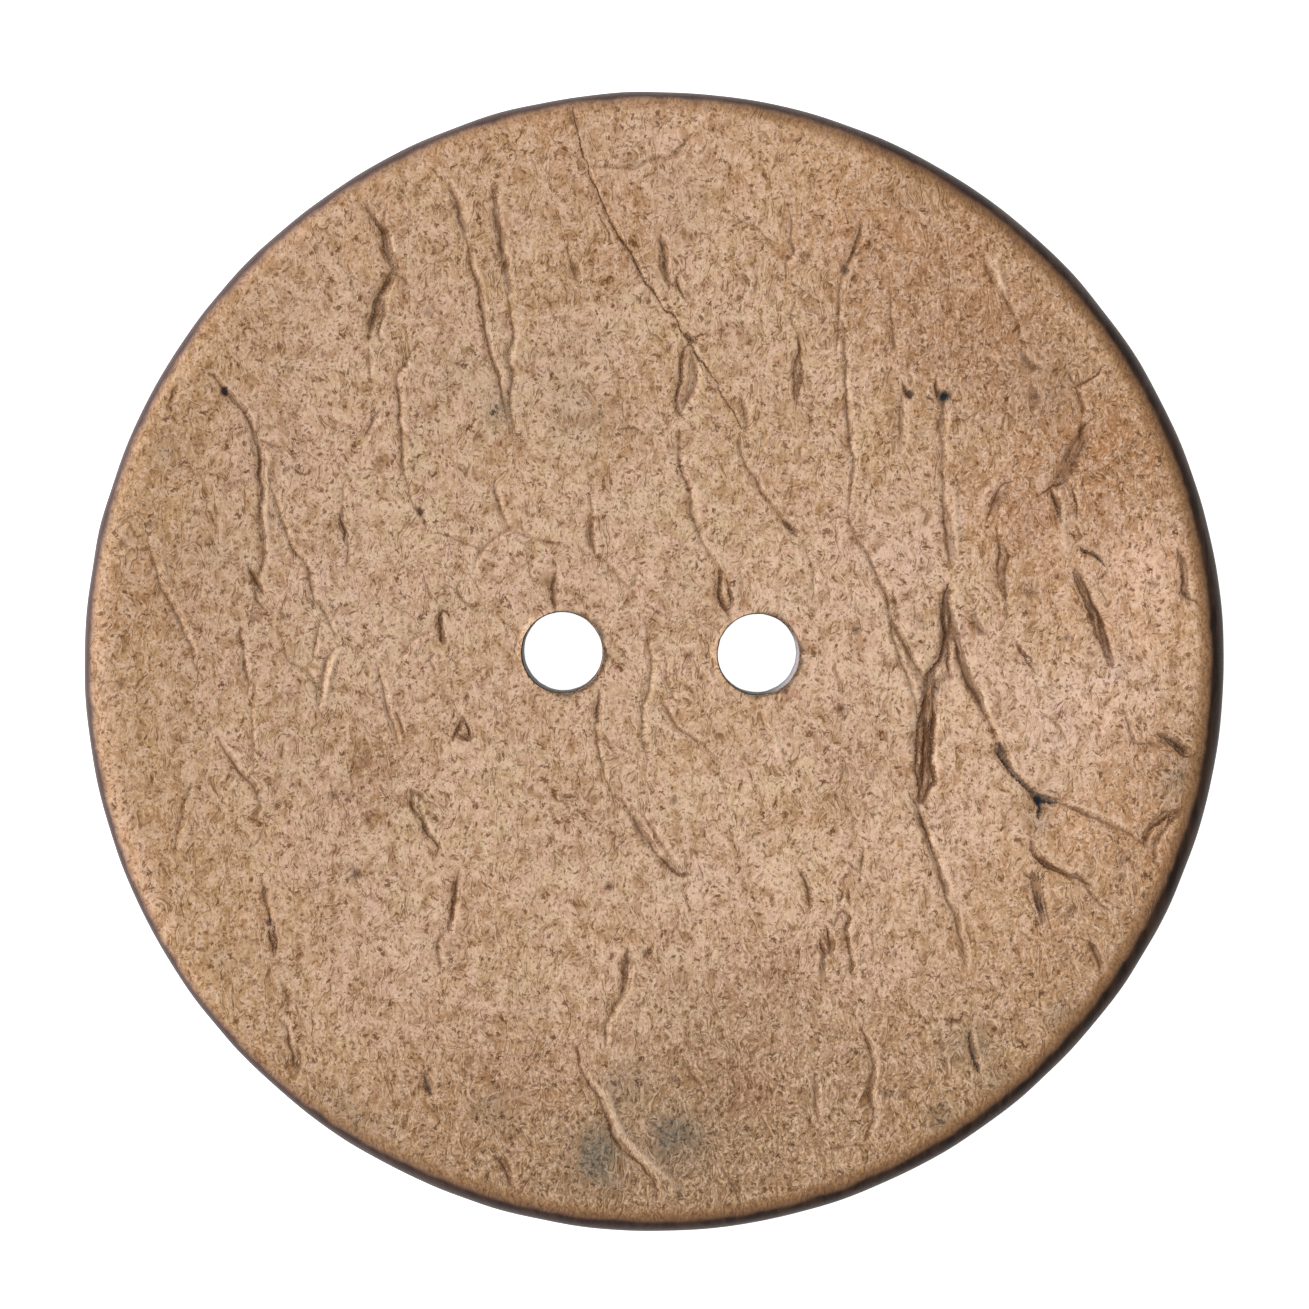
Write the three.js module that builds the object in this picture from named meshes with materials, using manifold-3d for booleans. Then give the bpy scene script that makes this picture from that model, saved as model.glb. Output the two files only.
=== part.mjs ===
import * as THREE from 'three';
import { mergeVertices } from 'three/addons/utils/BufferGeometryUtils.js';
import Module from 'manifold-3d';

const wasm = await Module();
wasm.setup();

// A two-hole sew-on button turned from one piece of coconut shell, in millimetres.
// It lies on the ground flat of its back with its hollow face up (+Z).
// The sewing holes stand side by side along X, and +Y is the button's upper side.

// Driving dimensions.
const buttonDiameter = 50.8;     // 80 line, which is 2 inches
const hollowRadius = 140;        // the front face is the inner wall of the nut
const shellThickness = 4.0;      // natural thickness of the shell
const centreThickness = 3.3;     // what is left at the centre after the back is ground flat
const shoulderWidth = 1.5;       // where the front face starts to roll over to the rim
const shoulderDepth = 1.2;
const backEdgeWidth = 1.0;       // rounding between the back and the rim
const backEdgeDepth = 0.9;
const holeDiameter = 3.6;
const holeSpacing = 8.76;        // centre to centre
const holeMiddle = [0.26, 0.42]; // the pair is drilled a little off the button's centre
const holeTurn = -0.55;          // degrees, and a little off level
const holeEdgeBreak = 0.12;      // the drilled edges are softened by tumbling

const rimRadius = buttonDiameter / 2;
const holeRadius = holeDiameter / 2;

// Both faces are parts of two spheres with one centre above the button.
const sphereCentre = centreThickness + hollowRadius;
const outerWallRadius = hollowRadius + shellThickness;
const backFlatRadius = Math.sqrt(outerWallRadius ** 2 - sphereCentre ** 2);

function wallHeight(wallRadius, r) {
  return sphereCentre - Math.sqrt(wallRadius ** 2 - r ** 2);
}

function wallAngle(wallRadius, r) {
  return Math.asin(r / wallRadius) - Math.PI / 2;
}

// The height that the wall's tangent at r reaches at the rim.
function tangentHeightAtRim(wallRadius, r) {
  const slope = r / Math.sqrt(wallRadius ** 2 - r ** 2);
  return wallHeight(wallRadius, r) + slope * (rimRadius - r);
}

// The button's half section, from the middle of the back round the rim to the
// middle of the front.
function buttonSection() {
  const backEdge = rimRadius - backEdgeWidth;
  const shoulder = rimRadius - shoulderWidth;
  const rimBottom = wallHeight(outerWallRadius, backEdge) + backEdgeDepth;
  const rimTop = wallHeight(hollowRadius, shoulder) - shoulderDepth;
  const section = new THREE.Path();
  section.moveTo(0, 0);
  section.lineTo(backFlatRadius, 0);
  section.absarc(
    0, sphereCentre, outerWallRadius,
    wallAngle(outerWallRadius, backFlatRadius), wallAngle(outerWallRadius, backEdge), false,
  );
  section.quadraticCurveTo(
    rimRadius, tangentHeightAtRim(outerWallRadius, backEdge),
    rimRadius, rimBottom,
  );
  section.lineTo(rimRadius, rimTop);
  section.quadraticCurveTo(
    rimRadius, tangentHeightAtRim(hollowRadius, shoulder),
    shoulder, wallHeight(hollowRadius, shoulder),
  );
  section.absarc(
    0, sphereCentre, hollowRadius,
    wallAngle(hollowRadius, shoulder), wallAngle(hollowRadius, 0), true,
  );
  return section.getPoints(4);
}

// A drill's half section: straight through the button, and wider at both faces.
function drillSection(faceHeight) {
  const reach = 1.0;
  const mouth = holeRadius + holeEdgeBreak + reach;
  return [
    [0, -reach],
    [mouth, -reach],
    [holeRadius, holeEdgeBreak],
    [holeRadius, faceHeight - holeEdgeBreak],
    [mouth, faceHeight + reach],
    [0, faceHeight + reach],
  ].map(([r, z]) => new THREE.Vector2(r, z));
}

// Turns a half section about the +Z axis.
function turned(section, segments) {
  const points = section.map((point) => new THREE.Vector2(point.x, point.y));
  points[0].x = 0;
  points[points.length - 1].x = 0;
  const geometry = new THREE.LatheGeometry(points, segments);
  geometry.rotateX(Math.PI / 2);
  return geometry;
}

function toSolid(geometry) {
  const bare = geometry.clone();
  bare.deleteAttribute('normal');
  bare.deleteAttribute('uv');
  const merged = mergeVertices(bare, 1e-5);
  const mesh = new wasm.Mesh({
    numProp: 3,
    vertProperties: new Float32Array(merged.attributes.position.array),
    triVerts: new Uint32Array(merged.index.array),
  });
  return new wasm.Manifold(mesh);
}

function toGeometry(solid) {
  const mesh = solid.getMesh();
  const geometry = new THREE.BufferGeometry();
  geometry.setAttribute('position', new THREE.BufferAttribute(mesh.vertProperties, 3));
  geometry.setIndex(new THREE.BufferAttribute(mesh.triVerts, 1));
  geometry.computeVertexNormals();
  return geometry;
}

function sewingHole(side) {
  const turn = THREE.MathUtils.degToRad(holeTurn);
  const x = holeMiddle[0] + (side * holeSpacing / 2) * Math.cos(turn);
  const y = holeMiddle[1] + (side * holeSpacing / 2) * Math.sin(turn);
  const drill = turned(drillSection(wallHeight(hollowRadius, Math.hypot(x, y))), 48);
  drill.translate(x, y, 0);
  return toSolid(drill);
}

function buttonDisc() {
  let disc = toSolid(turned(buttonSection(), 96));
  for (const side of [-1, 1]) {
    disc = disc.subtract(sewingHole(side));
  }
  const coconutShell = new THREE.MeshStandardMaterial({
    color: 0xbe9d7f,
    roughness: 0.45,
    metalness: 0,
  });
  const mesh = new THREE.Mesh(toGeometry(disc), coconutShell);
  mesh.name = 'button_disc';
  return mesh;
}

const group = new THREE.Group();
group.add(buttonDisc());

export default group;
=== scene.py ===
import math

import bpy
import numpy as np
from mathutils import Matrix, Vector
from mathutils.geometry import delaunay_2d_cdt


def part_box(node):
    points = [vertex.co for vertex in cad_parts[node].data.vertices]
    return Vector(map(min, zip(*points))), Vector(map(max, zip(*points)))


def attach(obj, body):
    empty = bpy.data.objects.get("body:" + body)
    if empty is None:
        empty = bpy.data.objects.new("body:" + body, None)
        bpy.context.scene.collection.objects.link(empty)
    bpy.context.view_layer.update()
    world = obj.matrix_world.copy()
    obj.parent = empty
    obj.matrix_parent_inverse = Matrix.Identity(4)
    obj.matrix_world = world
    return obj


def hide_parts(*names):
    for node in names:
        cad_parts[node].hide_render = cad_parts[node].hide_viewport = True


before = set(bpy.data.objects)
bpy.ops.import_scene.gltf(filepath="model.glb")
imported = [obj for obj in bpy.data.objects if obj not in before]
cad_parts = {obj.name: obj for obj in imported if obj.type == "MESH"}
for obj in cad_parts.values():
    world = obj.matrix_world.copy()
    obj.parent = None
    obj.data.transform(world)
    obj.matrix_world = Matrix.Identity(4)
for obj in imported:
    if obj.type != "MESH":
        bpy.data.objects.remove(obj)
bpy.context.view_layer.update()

# A coconut-shell button. Everything below is in millimetres in the part's frame
# until build_button turns it into metres: +Z out of the hollow front, +X along
# the sewing holes, +Y towards the upper side.

MM = 0.001

# Driving dimensions. The rim's size comes from the frame, and the rest repeats
# the part's own.
NODE = "button_disc"
rim_low, rim_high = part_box(NODE)
RIM_RADIUS = (rim_high[0] - rim_low[0]) / 2 / MM
HOLLOW_RADIUS = 140.0
SHELL_THICKNESS = 4.0
CENTRE_THICKNESS = 3.3
HOLE_RADIUS = 1.8
HOLE_SPACING = 8.76
HOLE_MIDDLE = (0.26, 0.42)
HOLE_TURN = math.radians(-0.55)
HOLE_BREAK = 0.05                      # how far the holes' edges are rounded
FRONT_SHOULDER = 1.5                   # how far in the rim's round starts, in front
BACK_SHOULDER = 1.0                    # and at the back

SPHERE_CENTRE = CENTRE_THICKNESS + HOLLOW_RADIUS
OUTER_WALL_RADIUS = HOLLOW_RADIUS + SHELL_THICKNESS
BACK_FLAT_RADIUS = math.sqrt(OUTER_WALL_RADIUS ** 2 - SPHERE_CENTRE ** 2)

HOLES = [
    (
        HOLE_MIDDLE[0] + side * HOLE_SPACING / 2 * math.cos(HOLE_TURN),
        HOLE_MIDDLE[1] + side * HOLE_SPACING / 2 * math.sin(HOLE_TURN),
    )
    for side in (-1, 1)
]

# ---------------------------------------------------------------------------
# The marks that the nut's veins leave on the front, listed one by one.
# A line is (half width, ink, depth, tone, points from its upper end down).
# ink is how dark it is, from 0 to 1; tone goes from 0, warm brown, to 1, blue-black.

CRACK = [
    (-3.72, 24.9), (-3.25, 22.8), (-2.85, 22.1), (-2.85, 21.7), (-2.7, 21.3), (-2.45, 20.95),
    (-1.75, 19.2), (-1.1, 18.3), (-0.4, 16.9), (-0.1, 16.6), (0.4, 15.8), (0.8, 15.5), (1.1, 15.1),
    (1.25, 14.7), (2.6, 12.7), (4.0, 10.3),
]

LINES = [
    # Upper left.
    (0.11, 0.75, 0.07, 0.1, [(-12.75, 20.3), (-12.1, 19.3), (-11.85, 18.2), (-11.45, 17.2)]),
    (0.15, 0.85, 0.08, 0.1, [(-11.45, 17.25), (-11.75, 17.1), (-12.35, 15.5), (-12.6, 14.5)]),
    (0.07, 0.6, 0.05, 0.1, [(-11.85, 16.2), (-12.15, 14.8), (-12.1, 14.3)]),
    (0.06, 0.45, 0.04, 0.1, [(-11.45, 17.2), (-11.1, 17.0), (-10.8, 16.6)]),
    (0.06, 0.4, 0.05, 0.1, [(-11.85, 20.2), (-11.85, 19.4), (-11.3, 17.4)]),
    (0.05, 0.35, 0.03, 0.1, [(-12.6, 14.0), (-12.6, 12.6)]),
    (0.07, 0.6, 0.04, 0.2, [(-12.2, 11.3), (-12.9, 10.0)]),
    (0.06, 0.55, 0.05, 0.1, [(-10.4, 14.2), (-11.2, 13.1), (-11.4, 12.5), (-11.25, 11.4), (-11.3, 10.8),
        (-11.15, 9.3), (-11.2, 8.8), (-10.75, 7.0)]),
    (0.1, 0.7, 0.06, 0.1, [(-19.6, 12.75), (-19.3, 12.5), (-18.0, 10.9), (-17.5, 9.5), (-17.4, 8.9),
        (-17.5, 8.4), (-17.4, 7.6), (-17.45, 6.8), (-17.35, 5.0), (-17.5, 4.0)]),
    (0.05, 0.45, 0.03, 0.1, [(-17.6, 10.0), (-17.1, 9.7), (-16.6, 9.6)]),
    (0.04, 0.35, 0.03, 0.1, [(-16.0, 9.6), (-14.8, 9.0)]),
    (0.07, 0.7, 0.04, 0.3, [(-21.1, 12.6), (-21.3, 11.6), (-21.3, 11.2), (-21.1, 10.7)]),
    (0.05, 0.6, 0.02, 0.1, [(-16.4, 8.6), (-16.1, 8.8), (-15.95, 8.6), (-15.5, 8.4), (-15.3, 8.5)]),
    (0.12, 0.6, 0.07, 0.0, [(-9.0, 21.1), (-8.7, 20.4), (-8.4, 18.8)]),
    (0.08, 0.65, 0.05, 0.1, [(-8.4, 18.9), (-7.7, 16.2), (-7.5, 14.7), (-6.75, 11.9), (-6.4, 10.2)]),
    (0.13, 0.65, 0.07, 0.0, [(-6.9, 21.0), (-7.05, 20.3), (-6.35, 16.5)]),
    (0.07, 0.55, 0.05, 0.1, [(-6.5, 16.4), (-6.25, 14.7), (-6.5, 13.8), (-6.3, 13.0), (-6.4, 11.5),
        (-6.2, 10.3)]),
    # Upper middle.
    (0.13, 0.75, 0.07, 0.1, [(0.35, 18.8), (0.6, 17.2), (0.9, 16.8)]),
    (0.06, 0.8, 0.04, 0.2, [(1.0, 17.1), (1.35, 16.2)]),
    (0.1, 0.9, 0.04, 0.3, [(1.3, 14.65), (1.8, 14.35)]),
    (0.04, 0.7, 0.02, 0.2, [(1.6, 14.5), (2.3, 14.65)]),
    (0.09, 0.85, 0.06, 0.15, [(1.5, 14.1), (1.3, 13.7), (1.0, 11.2)]),
    (0.05, 0.4, 0.04, 0.0, [(1.7, 14.0), (1.9, 12.6), (1.7, 12.0), (1.1, 10.9)]),
    (0.07, 0.5, 0.06, 0.1, [(1.1, 10.4), (1.2, 9.0), (1.6, 7.6), (1.75, 6.5), (2.3, 5.1), (2.85, 4.4)]),
    (0.15, 0.85, 0.08, 0.2, [(3.0, 4.1), (2.9, 3.0), (3.35, 2.1)]),
    (0.05, 0.8, 0.04, 0.1, [(3.3, 3.7), (3.45, 2.7), (3.35, 2.3)]),
    (0.05, 0.4, 0.03, 0.1, [(3.9, 4.0), (4.0, 3.5), (3.95, 2.9)]),
    (0.07, 0.4, 0.04, 0.0, [(-2.6, 22.0), (-1.4, 21.9), (-0.8, 22.0), (0.2, 22.35), (0.7, 22.4),
        (1.1, 22.7), (1.6, 23.3)]),
    (0.05, 0.5, 0.03, 0.1, [(-3.75, 18.6), (-3.7, 18.0)]),
    (0.12, 0.6, 0.05, 0.0, [(-3.65, 17.9), (-3.4, 17.0)]),
    (0.05, 0.55, 0.04, 0.1, [(6.0, 20.0), (6.1, 19.3), (6.05, 18.7), (6.2, 18.2), (5.9, 17.8),
        (5.85, 17.1)]),
    (0.05, 0.5, 0.04, 0.1, [(6.2, 16.0), (6.15, 15.4), (6.25, 14.9)]),
    (0.07, 0.8, 0.05, 0.1, [(6.4, 14.5), (6.4, 13.9), (6.2, 12.6), (6.35, 11.8)]),
    (0.05, 0.7, 0.04, 0.1, [(6.5, 13.8), (6.55, 13.0), (6.45, 11.6)]),
    (0.05, 0.6, 0.03, 0.1, [(6.35, 13.4), (6.4, 12.0)]),
    (0.11, 0.7, 0.05, 0.1, [(9.1, 19.4), (9.0, 18.8), (8.45, 17.4)]),
    (0.05, 0.5, 0.03, 0.1, [(9.3, 18.5), (9.1, 18.2), (8.8, 18.0)]),
    (0.06, 0.5, 0.04, 0.1, [(8.25, 17.0), (8.15, 13.8)]),
    (0.06, 0.6, 0.05, 0.2, [(8.35, 15.2), (8.5, 13.9), (8.5, 12.4), (8.75, 9.6), (8.9, 9.0), (8.7, 6.9),
        (8.75, 6.3)]),
    (0.06, 0.6, 0.02, 0.1, [(-1.5, 10.4), (-1.0, 10.45), (-0.6, 10.3)]),
    (0.08, 0.5, 0.04, 0.0, [(3.9, 11.9), (4.15, 10.4)]),
    (0.07, 0.5, 0.05, 0.1, [(3.7, 10.0), (3.8, 9.5), (4.8, 7.7), (5.9, 6.2)]),
    (0.13, 0.85, 0.06, 0.2, [(5.75, 6.4), (6.4, 5.7)]),
    (0.04, 0.6, 0.02, 0.2, [(5.95, 6.7), (6.2, 6.6)]),
    (0.05, 0.35, 0.05, 0.0, [(6.6, 5.4), (7.1, 4.0), (7.15, 3.4), (7.0, 2.9)]),
    (0.05, 0.35, 0.03, 0.0, [(2.9, 19.8), (4.3, 19.4), (4.9, 18.9), (5.8, 17.9)]),
    # Upper right.
    (0.05, 0.5, 0.03, 0.0, [(10.45, 16.5), (10.6, 14.8)]),
    (0.08, 0.85, 0.03, 0.3, [(10.6, 14.6), (10.65, 14.0)]),
    (0.08, 0.9, 0.04, 0.4, [(11.0, 12.4), (11.1, 12.1), (11.3, 11.9)]),
    (0.12, 0.45, 0.05, 0.1, [(11.0, 11.9), (10.95, 9.6)]),
    (0.08, 0.95, 0.04, 0.7, [(12.55, 12.4), (12.65, 11.6)]),
    (0.15, 0.5, 0.05, 0.2, [(12.85, 11.4), (12.75, 10.1)]),
    (0.08, 0.4, 0.04, 0.2, [(12.75, 10.1), (12.85, 9.6), (12.75, 8.4)]),
    (0.1, 0.5, 0.04, 0.0, [(14.65, 17.8), (15.1, 16.7)]),
    (0.05, 0.35, 0.04, 0.1, [(15.4, 16.4), (15.8, 15.6), (16.2, 14.4), (16.3, 13.8)]),
    (0.1, 0.6, 0.04, 0.5, [(16.3, 13.7), (16.7, 13.1), (17.0, 13.05)]),
    (0.05, 0.6, 0.05, 0.1, [(18.3, 12.9), (18.45, 12.5), (18.7, 12.25)]),
    (0.06, 0.7, 0.06, 0.1, [(19.8, 13.1), (19.5, 12.7), (18.65, 12.2)]),
    (0.06, 0.6, 0.05, 0.1, [(18.65, 12.2), (18.95, 11.4), (19.0, 11.0)]),
    (0.06, 0.8, 0.05, 0.1, [(19.15, 10.5), (18.95, 10.3), (18.85, 10.0)]),
    (0.07, 0.8, 0.05, 0.1, [(18.1, 8.0), (17.25, 7.5)]),
    (0.09, 0.9, 0.06, 0.2, [(17.65, 7.6), (18.05, 6.3)]),
    (0.05, 0.8, 0.05, 0.2, [(18.5, 7.9), (18.75, 7.0), (18.75, 6.5)]),
    (0.08, 0.95, 0.05, 0.8, [(18.95, 5.15), (19.7, 4.7), (19.95, 4.45)]),
    (0.05, 0.6, 0.05, 0.2, [(18.6, 4.1), (20.2, -0.1)]),
    (0.05, 0.6, 0.05, 0.2, [(18.85, 4.0), (19.55, 2.6), (20.45, 0.2)]),
    (0.05, 0.8, 0.04, 0.3, [(16.15, 1.0), (16.6, 0.0), (16.85, -0.35)]),
    (0.04, 0.7, 0.03, 0.3, [(16.35, 0.8), (16.9, -0.3)]),
    (0.06, 0.75, 0.05, 0.1, [(15.85, 8.1), (15.4, 7.8), (14.85, 6.5), (14.9, 6.3)]),
    (0.05, 0.6, 0.04, 0.1, [(15.2, 6.2), (15.35, 4.9), (15.35, 3.6), (15.5, 3.0)]),
    (0.05, 0.6, 0.04, 0.1, [(15.5, 5.2), (15.75, 4.7), (15.6, 3.4), (15.7, 2.0)]),
    (0.06, 0.45, 0.05, 0.1, [(12.85, 9.0), (13.0, 5.6), (13.25, 4.4)]),
    # Right middle: the thick vein and what joins it.
    (0.13, 0.9, 0.1, 0.25, [(13.1, 3.4), (12.9, 2.5), (12.9, 2.0), (13.05, 1.4), (13.0, 0.9), (12.7, 0.0),
        (12.15, -0.6)]),
    (0.08, 0.8, 0.06, 0.2, [(13.2, 3.2), (13.1, 2.6), (13.2, 1.8), (13.1, 0.3), (13.25, -0.7)]),
    (0.07, 0.8, 0.06, 0.1, [(12.15, -0.6), (12.15, -1.3), (11.95, -2.1), (11.7, -4.0), (11.85, -6.2)]),
    (0.08, 0.9, 0.06, 0.1, [(12.4, -1.5), (12.5, -2.2), (12.4, -3.0), (12.4, -4.8), (12.5, -5.3),
        (12.2, -5.6), (11.95, -6.2)]),
    (0.06, 0.85, 0.05, 0.1, [(12.2, -2.2), (12.0, -4.1), (12.05, -4.9), (11.85, -5.6)]),
    (0.07, 0.6, 0.06, 0.1, [(8.7, 6.3), (10.2, 3.4), (10.8, 1.6), (11.9, -0.5), (12.05, -1.0)]),
    (0.06, 0.5, 0.05, 0.1, [(10.5, 2.4), (10.8, 0.8), (11.65, -1.6), (11.7, -2.2)]),
    (0.06, 0.55, 0.04, 0.1, [(10.65, 3.2), (10.95, 1.95)]),
    (0.08, 0.55, 0.07, 0.2, [(13.4, 1.5), (13.5, 0.7), (13.9, -0.5), (15.1, -3.0), (15.3, -3.6)]),
    (0.12, 0.95, 0.06, 0.9, [(15.35, -3.6), (15.7, -4.2)]),
    (0.09, 0.75, 0.06, 0.5, [(15.7, -4.2), (15.8, -4.5), (16.9, -5.8)]),
    (0.14, 1.0, 0.06, 1.0, [(16.7, -5.6), (17.2, -6.2)]),
    (0.09, 1.0, 0.05, 1.0, [(17.1, -6.0), (17.15, -6.8)]),
    (0.07, 0.95, 0.05, 0.9, [(17.0, -6.0), (18.0, -6.2)]),
    (0.06, 0.8, 0.04, 0.5, [(16.8, -5.7), (18.0, -6.1)]),
    (0.08, 0.6, 0.05, 0.1, [(18.0, -6.2), (20.4, -7.2), (21.6, -7.9)]),
    (0.05, 0.6, 0.04, 0.1, [(23.6, -6.25), (22.5, -6.6), (22.1, -7.0), (21.9, -7.6)]),
    (0.06, 0.7, 0.05, 0.1, [(23.5, -6.7), (22.9, -7.0), (22.5, -7.4), (22.2, -8.0), (22.1, -8.8)]),
    (0.05, 0.9, 0.04, 0.4, [(22.4, -3.1), (22.9, -3.65), (24.4, -4.6)]),
    (0.05, 0.8, 0.04, 0.4, [(22.5, -3.1), (23.1, -3.6), (24.5, -4.5)]),
    (0.05, 0.5, 0.03, 0.3, [(20.8, -1.8), (21.1, -3.0), (21.4, -3.5), (22.0, -3.5), (22.4, -3.8)]),
    (0.08, 0.7, 0.06, 0.1, [(23.2, 5.0), (23.45, 3.8), (23.4, 3.2), (23.6, 2.9), (24.0, 2.7), (24.7, 2.0)]),
    (0.05, 0.4, 0.03, 0.1, [(17.2, -2.2), (17.8, -2.6), (18.2, -3.0), (18.4, -3.7)]),
    (0.06, 0.8, 0.05, 0.2, [(11.45, -5.9), (11.9, -6.8), (12.6, -8.9)]),
    (0.1, 0.6, 0.07, 0.1, [(12.5, -8.4), (12.9, -9.9), (13.5, -11.6), (13.85, -13.3)]),
    # Left middle.
    (0.1, 0.75, 0.05, 0.1, [(-18.0, 4.3), (-17.4, 3.1)]),
    (0.06, 0.55, 0.03, 0.1, [(-17.8, 3.5), (-17.65, 2.8), (-17.3, 2.4)]),
    (0.06, 0.4, 0.05, 0.1, [(-16.8, 1.6), (-16.45, 0.8), (-16.45, 0.4), (-16.2, 0.1), (-15.4, -0.4),
        (-15.1, -0.9), (-14.9, -2.0), (-14.7, -2.4), (-14.4, -2.7)]),
    (0.06, 0.55, 0.05, 0.1, [(-17.1, 7.8), (-16.8, 7.2), (-16.15, 5.3), (-15.6, 4.5), (-15.2, 3.5),
        (-15.1, 3.0), (-14.6, 2.1), (-14.25, 1.2)]),
    (0.08, 0.5, 0.07, 0.0, [(-14.2, 0.7), (-14.5, 0.1), (-14.8, -1.1), (-14.85, -1.8)]),
    (0.05, 0.6, 0.03, 0.1, [(-14.9, 1.8), (-15.25, 0.1)]),
    (0.05, 0.4, 0.03, 0.1, [(-13.75, 8.0), (-13.8, 7.2)]),
    (0.05, 0.7, 0.04, 0.2, [(-13.95, 6.6), (-13.75, 6.0), (-13.75, 5.5)]),
    (0.05, 0.5, 0.03, 0.1, [(-13.6, 5.2), (-13.7, 4.2)]),
    (0.06, 0.5, 0.04, 0.1, [(-10.75, 7.2), (-10.2, 6.3), (-10.2, 5.9)]),
    (0.04, 0.5, 0.03, 0.1, [(-9.9, 5.75), (-9.4, 5.7), (-7.9, 5.2)]),
    (0.06, 0.5, 0.05, 0.1, [(-22.4, 5.6), (-21.8, 3.3), (-20.95, 1.8), (-20.4, 0.1), (-20.1, -0.5)]),
    (0.05, 0.6, 0.02, 0.1, [(-22.8, 5.0), (-22.5, 5.0), (-22.2, 5.2)]),
    (0.08, 0.9, 0.04, 0.2, [(-18.35, 1.5), (-18.3, 0.6)]),
    (0.06, 0.6, 0.05, 0.1, [(-18.3, 0.6), (-18.0, -0.9)]),
    (0.04, 0.35, 0.03, 0.1, [(-17.8, -0.8), (-17.6, -1.3)]),
    (0.04, 0.3, 0.04, 0.1, [(-17.9, -1.8), (-17.75, -5.2)]),
    (0.08, 0.6, 0.05, 0.2, [(-19.4, -3.3), (-18.8, -4.3), (-17.7, -5.6), (-17.6, -6.1)]),
    (0.06, 0.7, 0.03, 0.1, [(-16.5, -3.6), (-16.55, -4.2)]),
    (0.06, 0.5, 0.04, 0.1, [(-20.6, -5.4), (-21.0, -7.0), (-21.2, -8.4)]),
    (0.06, 0.5, 0.06, 0.0, [(-12.3, -0.1), (-11.7, -2.6), (-11.3, -3.8)]),
    (0.05, 0.5, 0.06, 0.0, [(-11.5, -2.2), (-11.2, -3.1)]),
    (0.05, 0.3, 0.04, 0.0, [(-10.0, 1.4), (-10.6, 1.1), (-11.3, 0.3)]),
    (0.09, 0.95, 0.04, 0.1, [(-9.15, 2.2), (-9.4, 2.35), (-9.75, 1.6)]),
    (0.1, 0.95, 0.04, 0.1, [(-9.5, 2.1), (-9.5, 1.0)]),
    (0.07, 0.85, 0.04, 0.1, [(-8.6, -2.5), (-8.95, -3.4)]),
    (0.07, 0.85, 0.04, 0.1, [(-8.5, -2.5), (-8.3, -3.0), (-8.25, -3.5)]),
    (0.12, 0.85, 0.03, 0.1, [(-8.75, -3.2), (-8.3, -3.5)]),
    (0.07, 0.8, 0.03, 0.1, [(-8.35, -1.4), (-8.35, -1.8)]),
    (0.08, 0.85, 0.05, 0.2, [(-10.85, -5.7), (-10.7, -6.6), (-9.7, -8.1), (-9.75, -8.6)]),
    (0.05, 0.7, 0.03, 0.1, [(-10.85, -5.7), (-10.4, -5.9), (-10.2, -6.2)]),
    (0.04, 0.5, 0.03, 0.1, [(-10.5, -6.2), (-10.35, -6.8), (-10.1, -7.2)]),
    (0.04, 0.5, 0.02, 0.1, [(-10.0, 0.4), (-9.8, -0.6)]),
    # Centre.
    (0.06, 0.55, 0.05, 0.1, [(-7.1, 8.2), (-7.1, 7.7), (-6.5, 6.0)]),
    (0.04, 0.4, 0.03, 0.1, [(-6.4, 5.85), (-3.7, 5.1)]),
    (0.05, 0.35, 0.05, 0.0, [(-6.5, 5.85), (-7.0, 5.6), (-7.8, 4.9), (-8.1, 3.9)]),
    (0.06, 0.5, 0.04, 0.1, [(-8.65, 3.6), (-8.7, 3.1), (-8.2, 2.5)]),
    (0.05, 0.4, 0.03, 0.0, [(-2.9, 7.5), (-2.75, 6.4)]),
    (0.1, 0.7, 0.07, 0.0, [(-2.8, 6.3), (-2.85, 5.8), (-2.65, 5.0)]),
    (0.06, 0.4, 0.05, 0.0, [(-2.6, 4.95), (-2.0, 4.4), (-1.4, 3.6), (-1.1, 3.4), (-0.7, 3.95),
        (-0.45, 4.1)]),
    (0.05, 0.6, 0.03, 0.1, [(-4.55, 4.6), (-4.4, 4.2)]),
    (0.13, 0.8, 0.05, 0.1, [(-4.4, 3.9), (-4.5, 2.9), (-4.45, 2.4)]),
    (0.04, 0.5, 0.03, 0.1, [(6.2, 8.5), (6.05, 7.3)]),
    (0.06, 0.45, 0.05, 0.0, [(-0.4, 1.9), (-0.1, 0.2), (-0.2, -1.2), (-0.55, -2.3), (-0.3, -4.8)]),
    (0.11, 0.95, 0.05, 0.1, [(-2.45, -1.4), (-2.5, -2.6)]),
    (0.05, 0.6, 0.05, 0.1, [(-2.65, -2.2), (-2.55, -3.6), (-2.3, -4.6), (-2.25, -5.2)]),
    (0.06, 0.6, 0.05, 0.1, [(0.3, -1.8), (0.9, -2.7), (1.3, -3.1), (2.3, -3.6)]),
    (0.05, 0.35, 0.04, 0.0, [(2.3, -3.7), (3.0, -4.5)]),
    (0.05, 0.4, 0.05, 0.0, [(-2.0, -6.0), (-1.5, -6.2), (-1.1, -6.6)]),
    (0.1, 0.65, 0.08, 0.0, [(-1.2, -6.5), (0.3, -8.8)]),
    (0.1, 0.85, 0.06, 0.1, [(0.2, -8.7), (1.0, -9.4), (1.4, -9.45)]),
    (0.06, 0.3, 0.06, 0.0, [(-0.9, -6.5), (-0.3, -7.1), (1.15, -9.3)]),
    (0.05, 0.4, 0.04, 0.0, [(0.5, -0.3), (0.8, -1.5), (1.1, -1.8)]),
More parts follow.
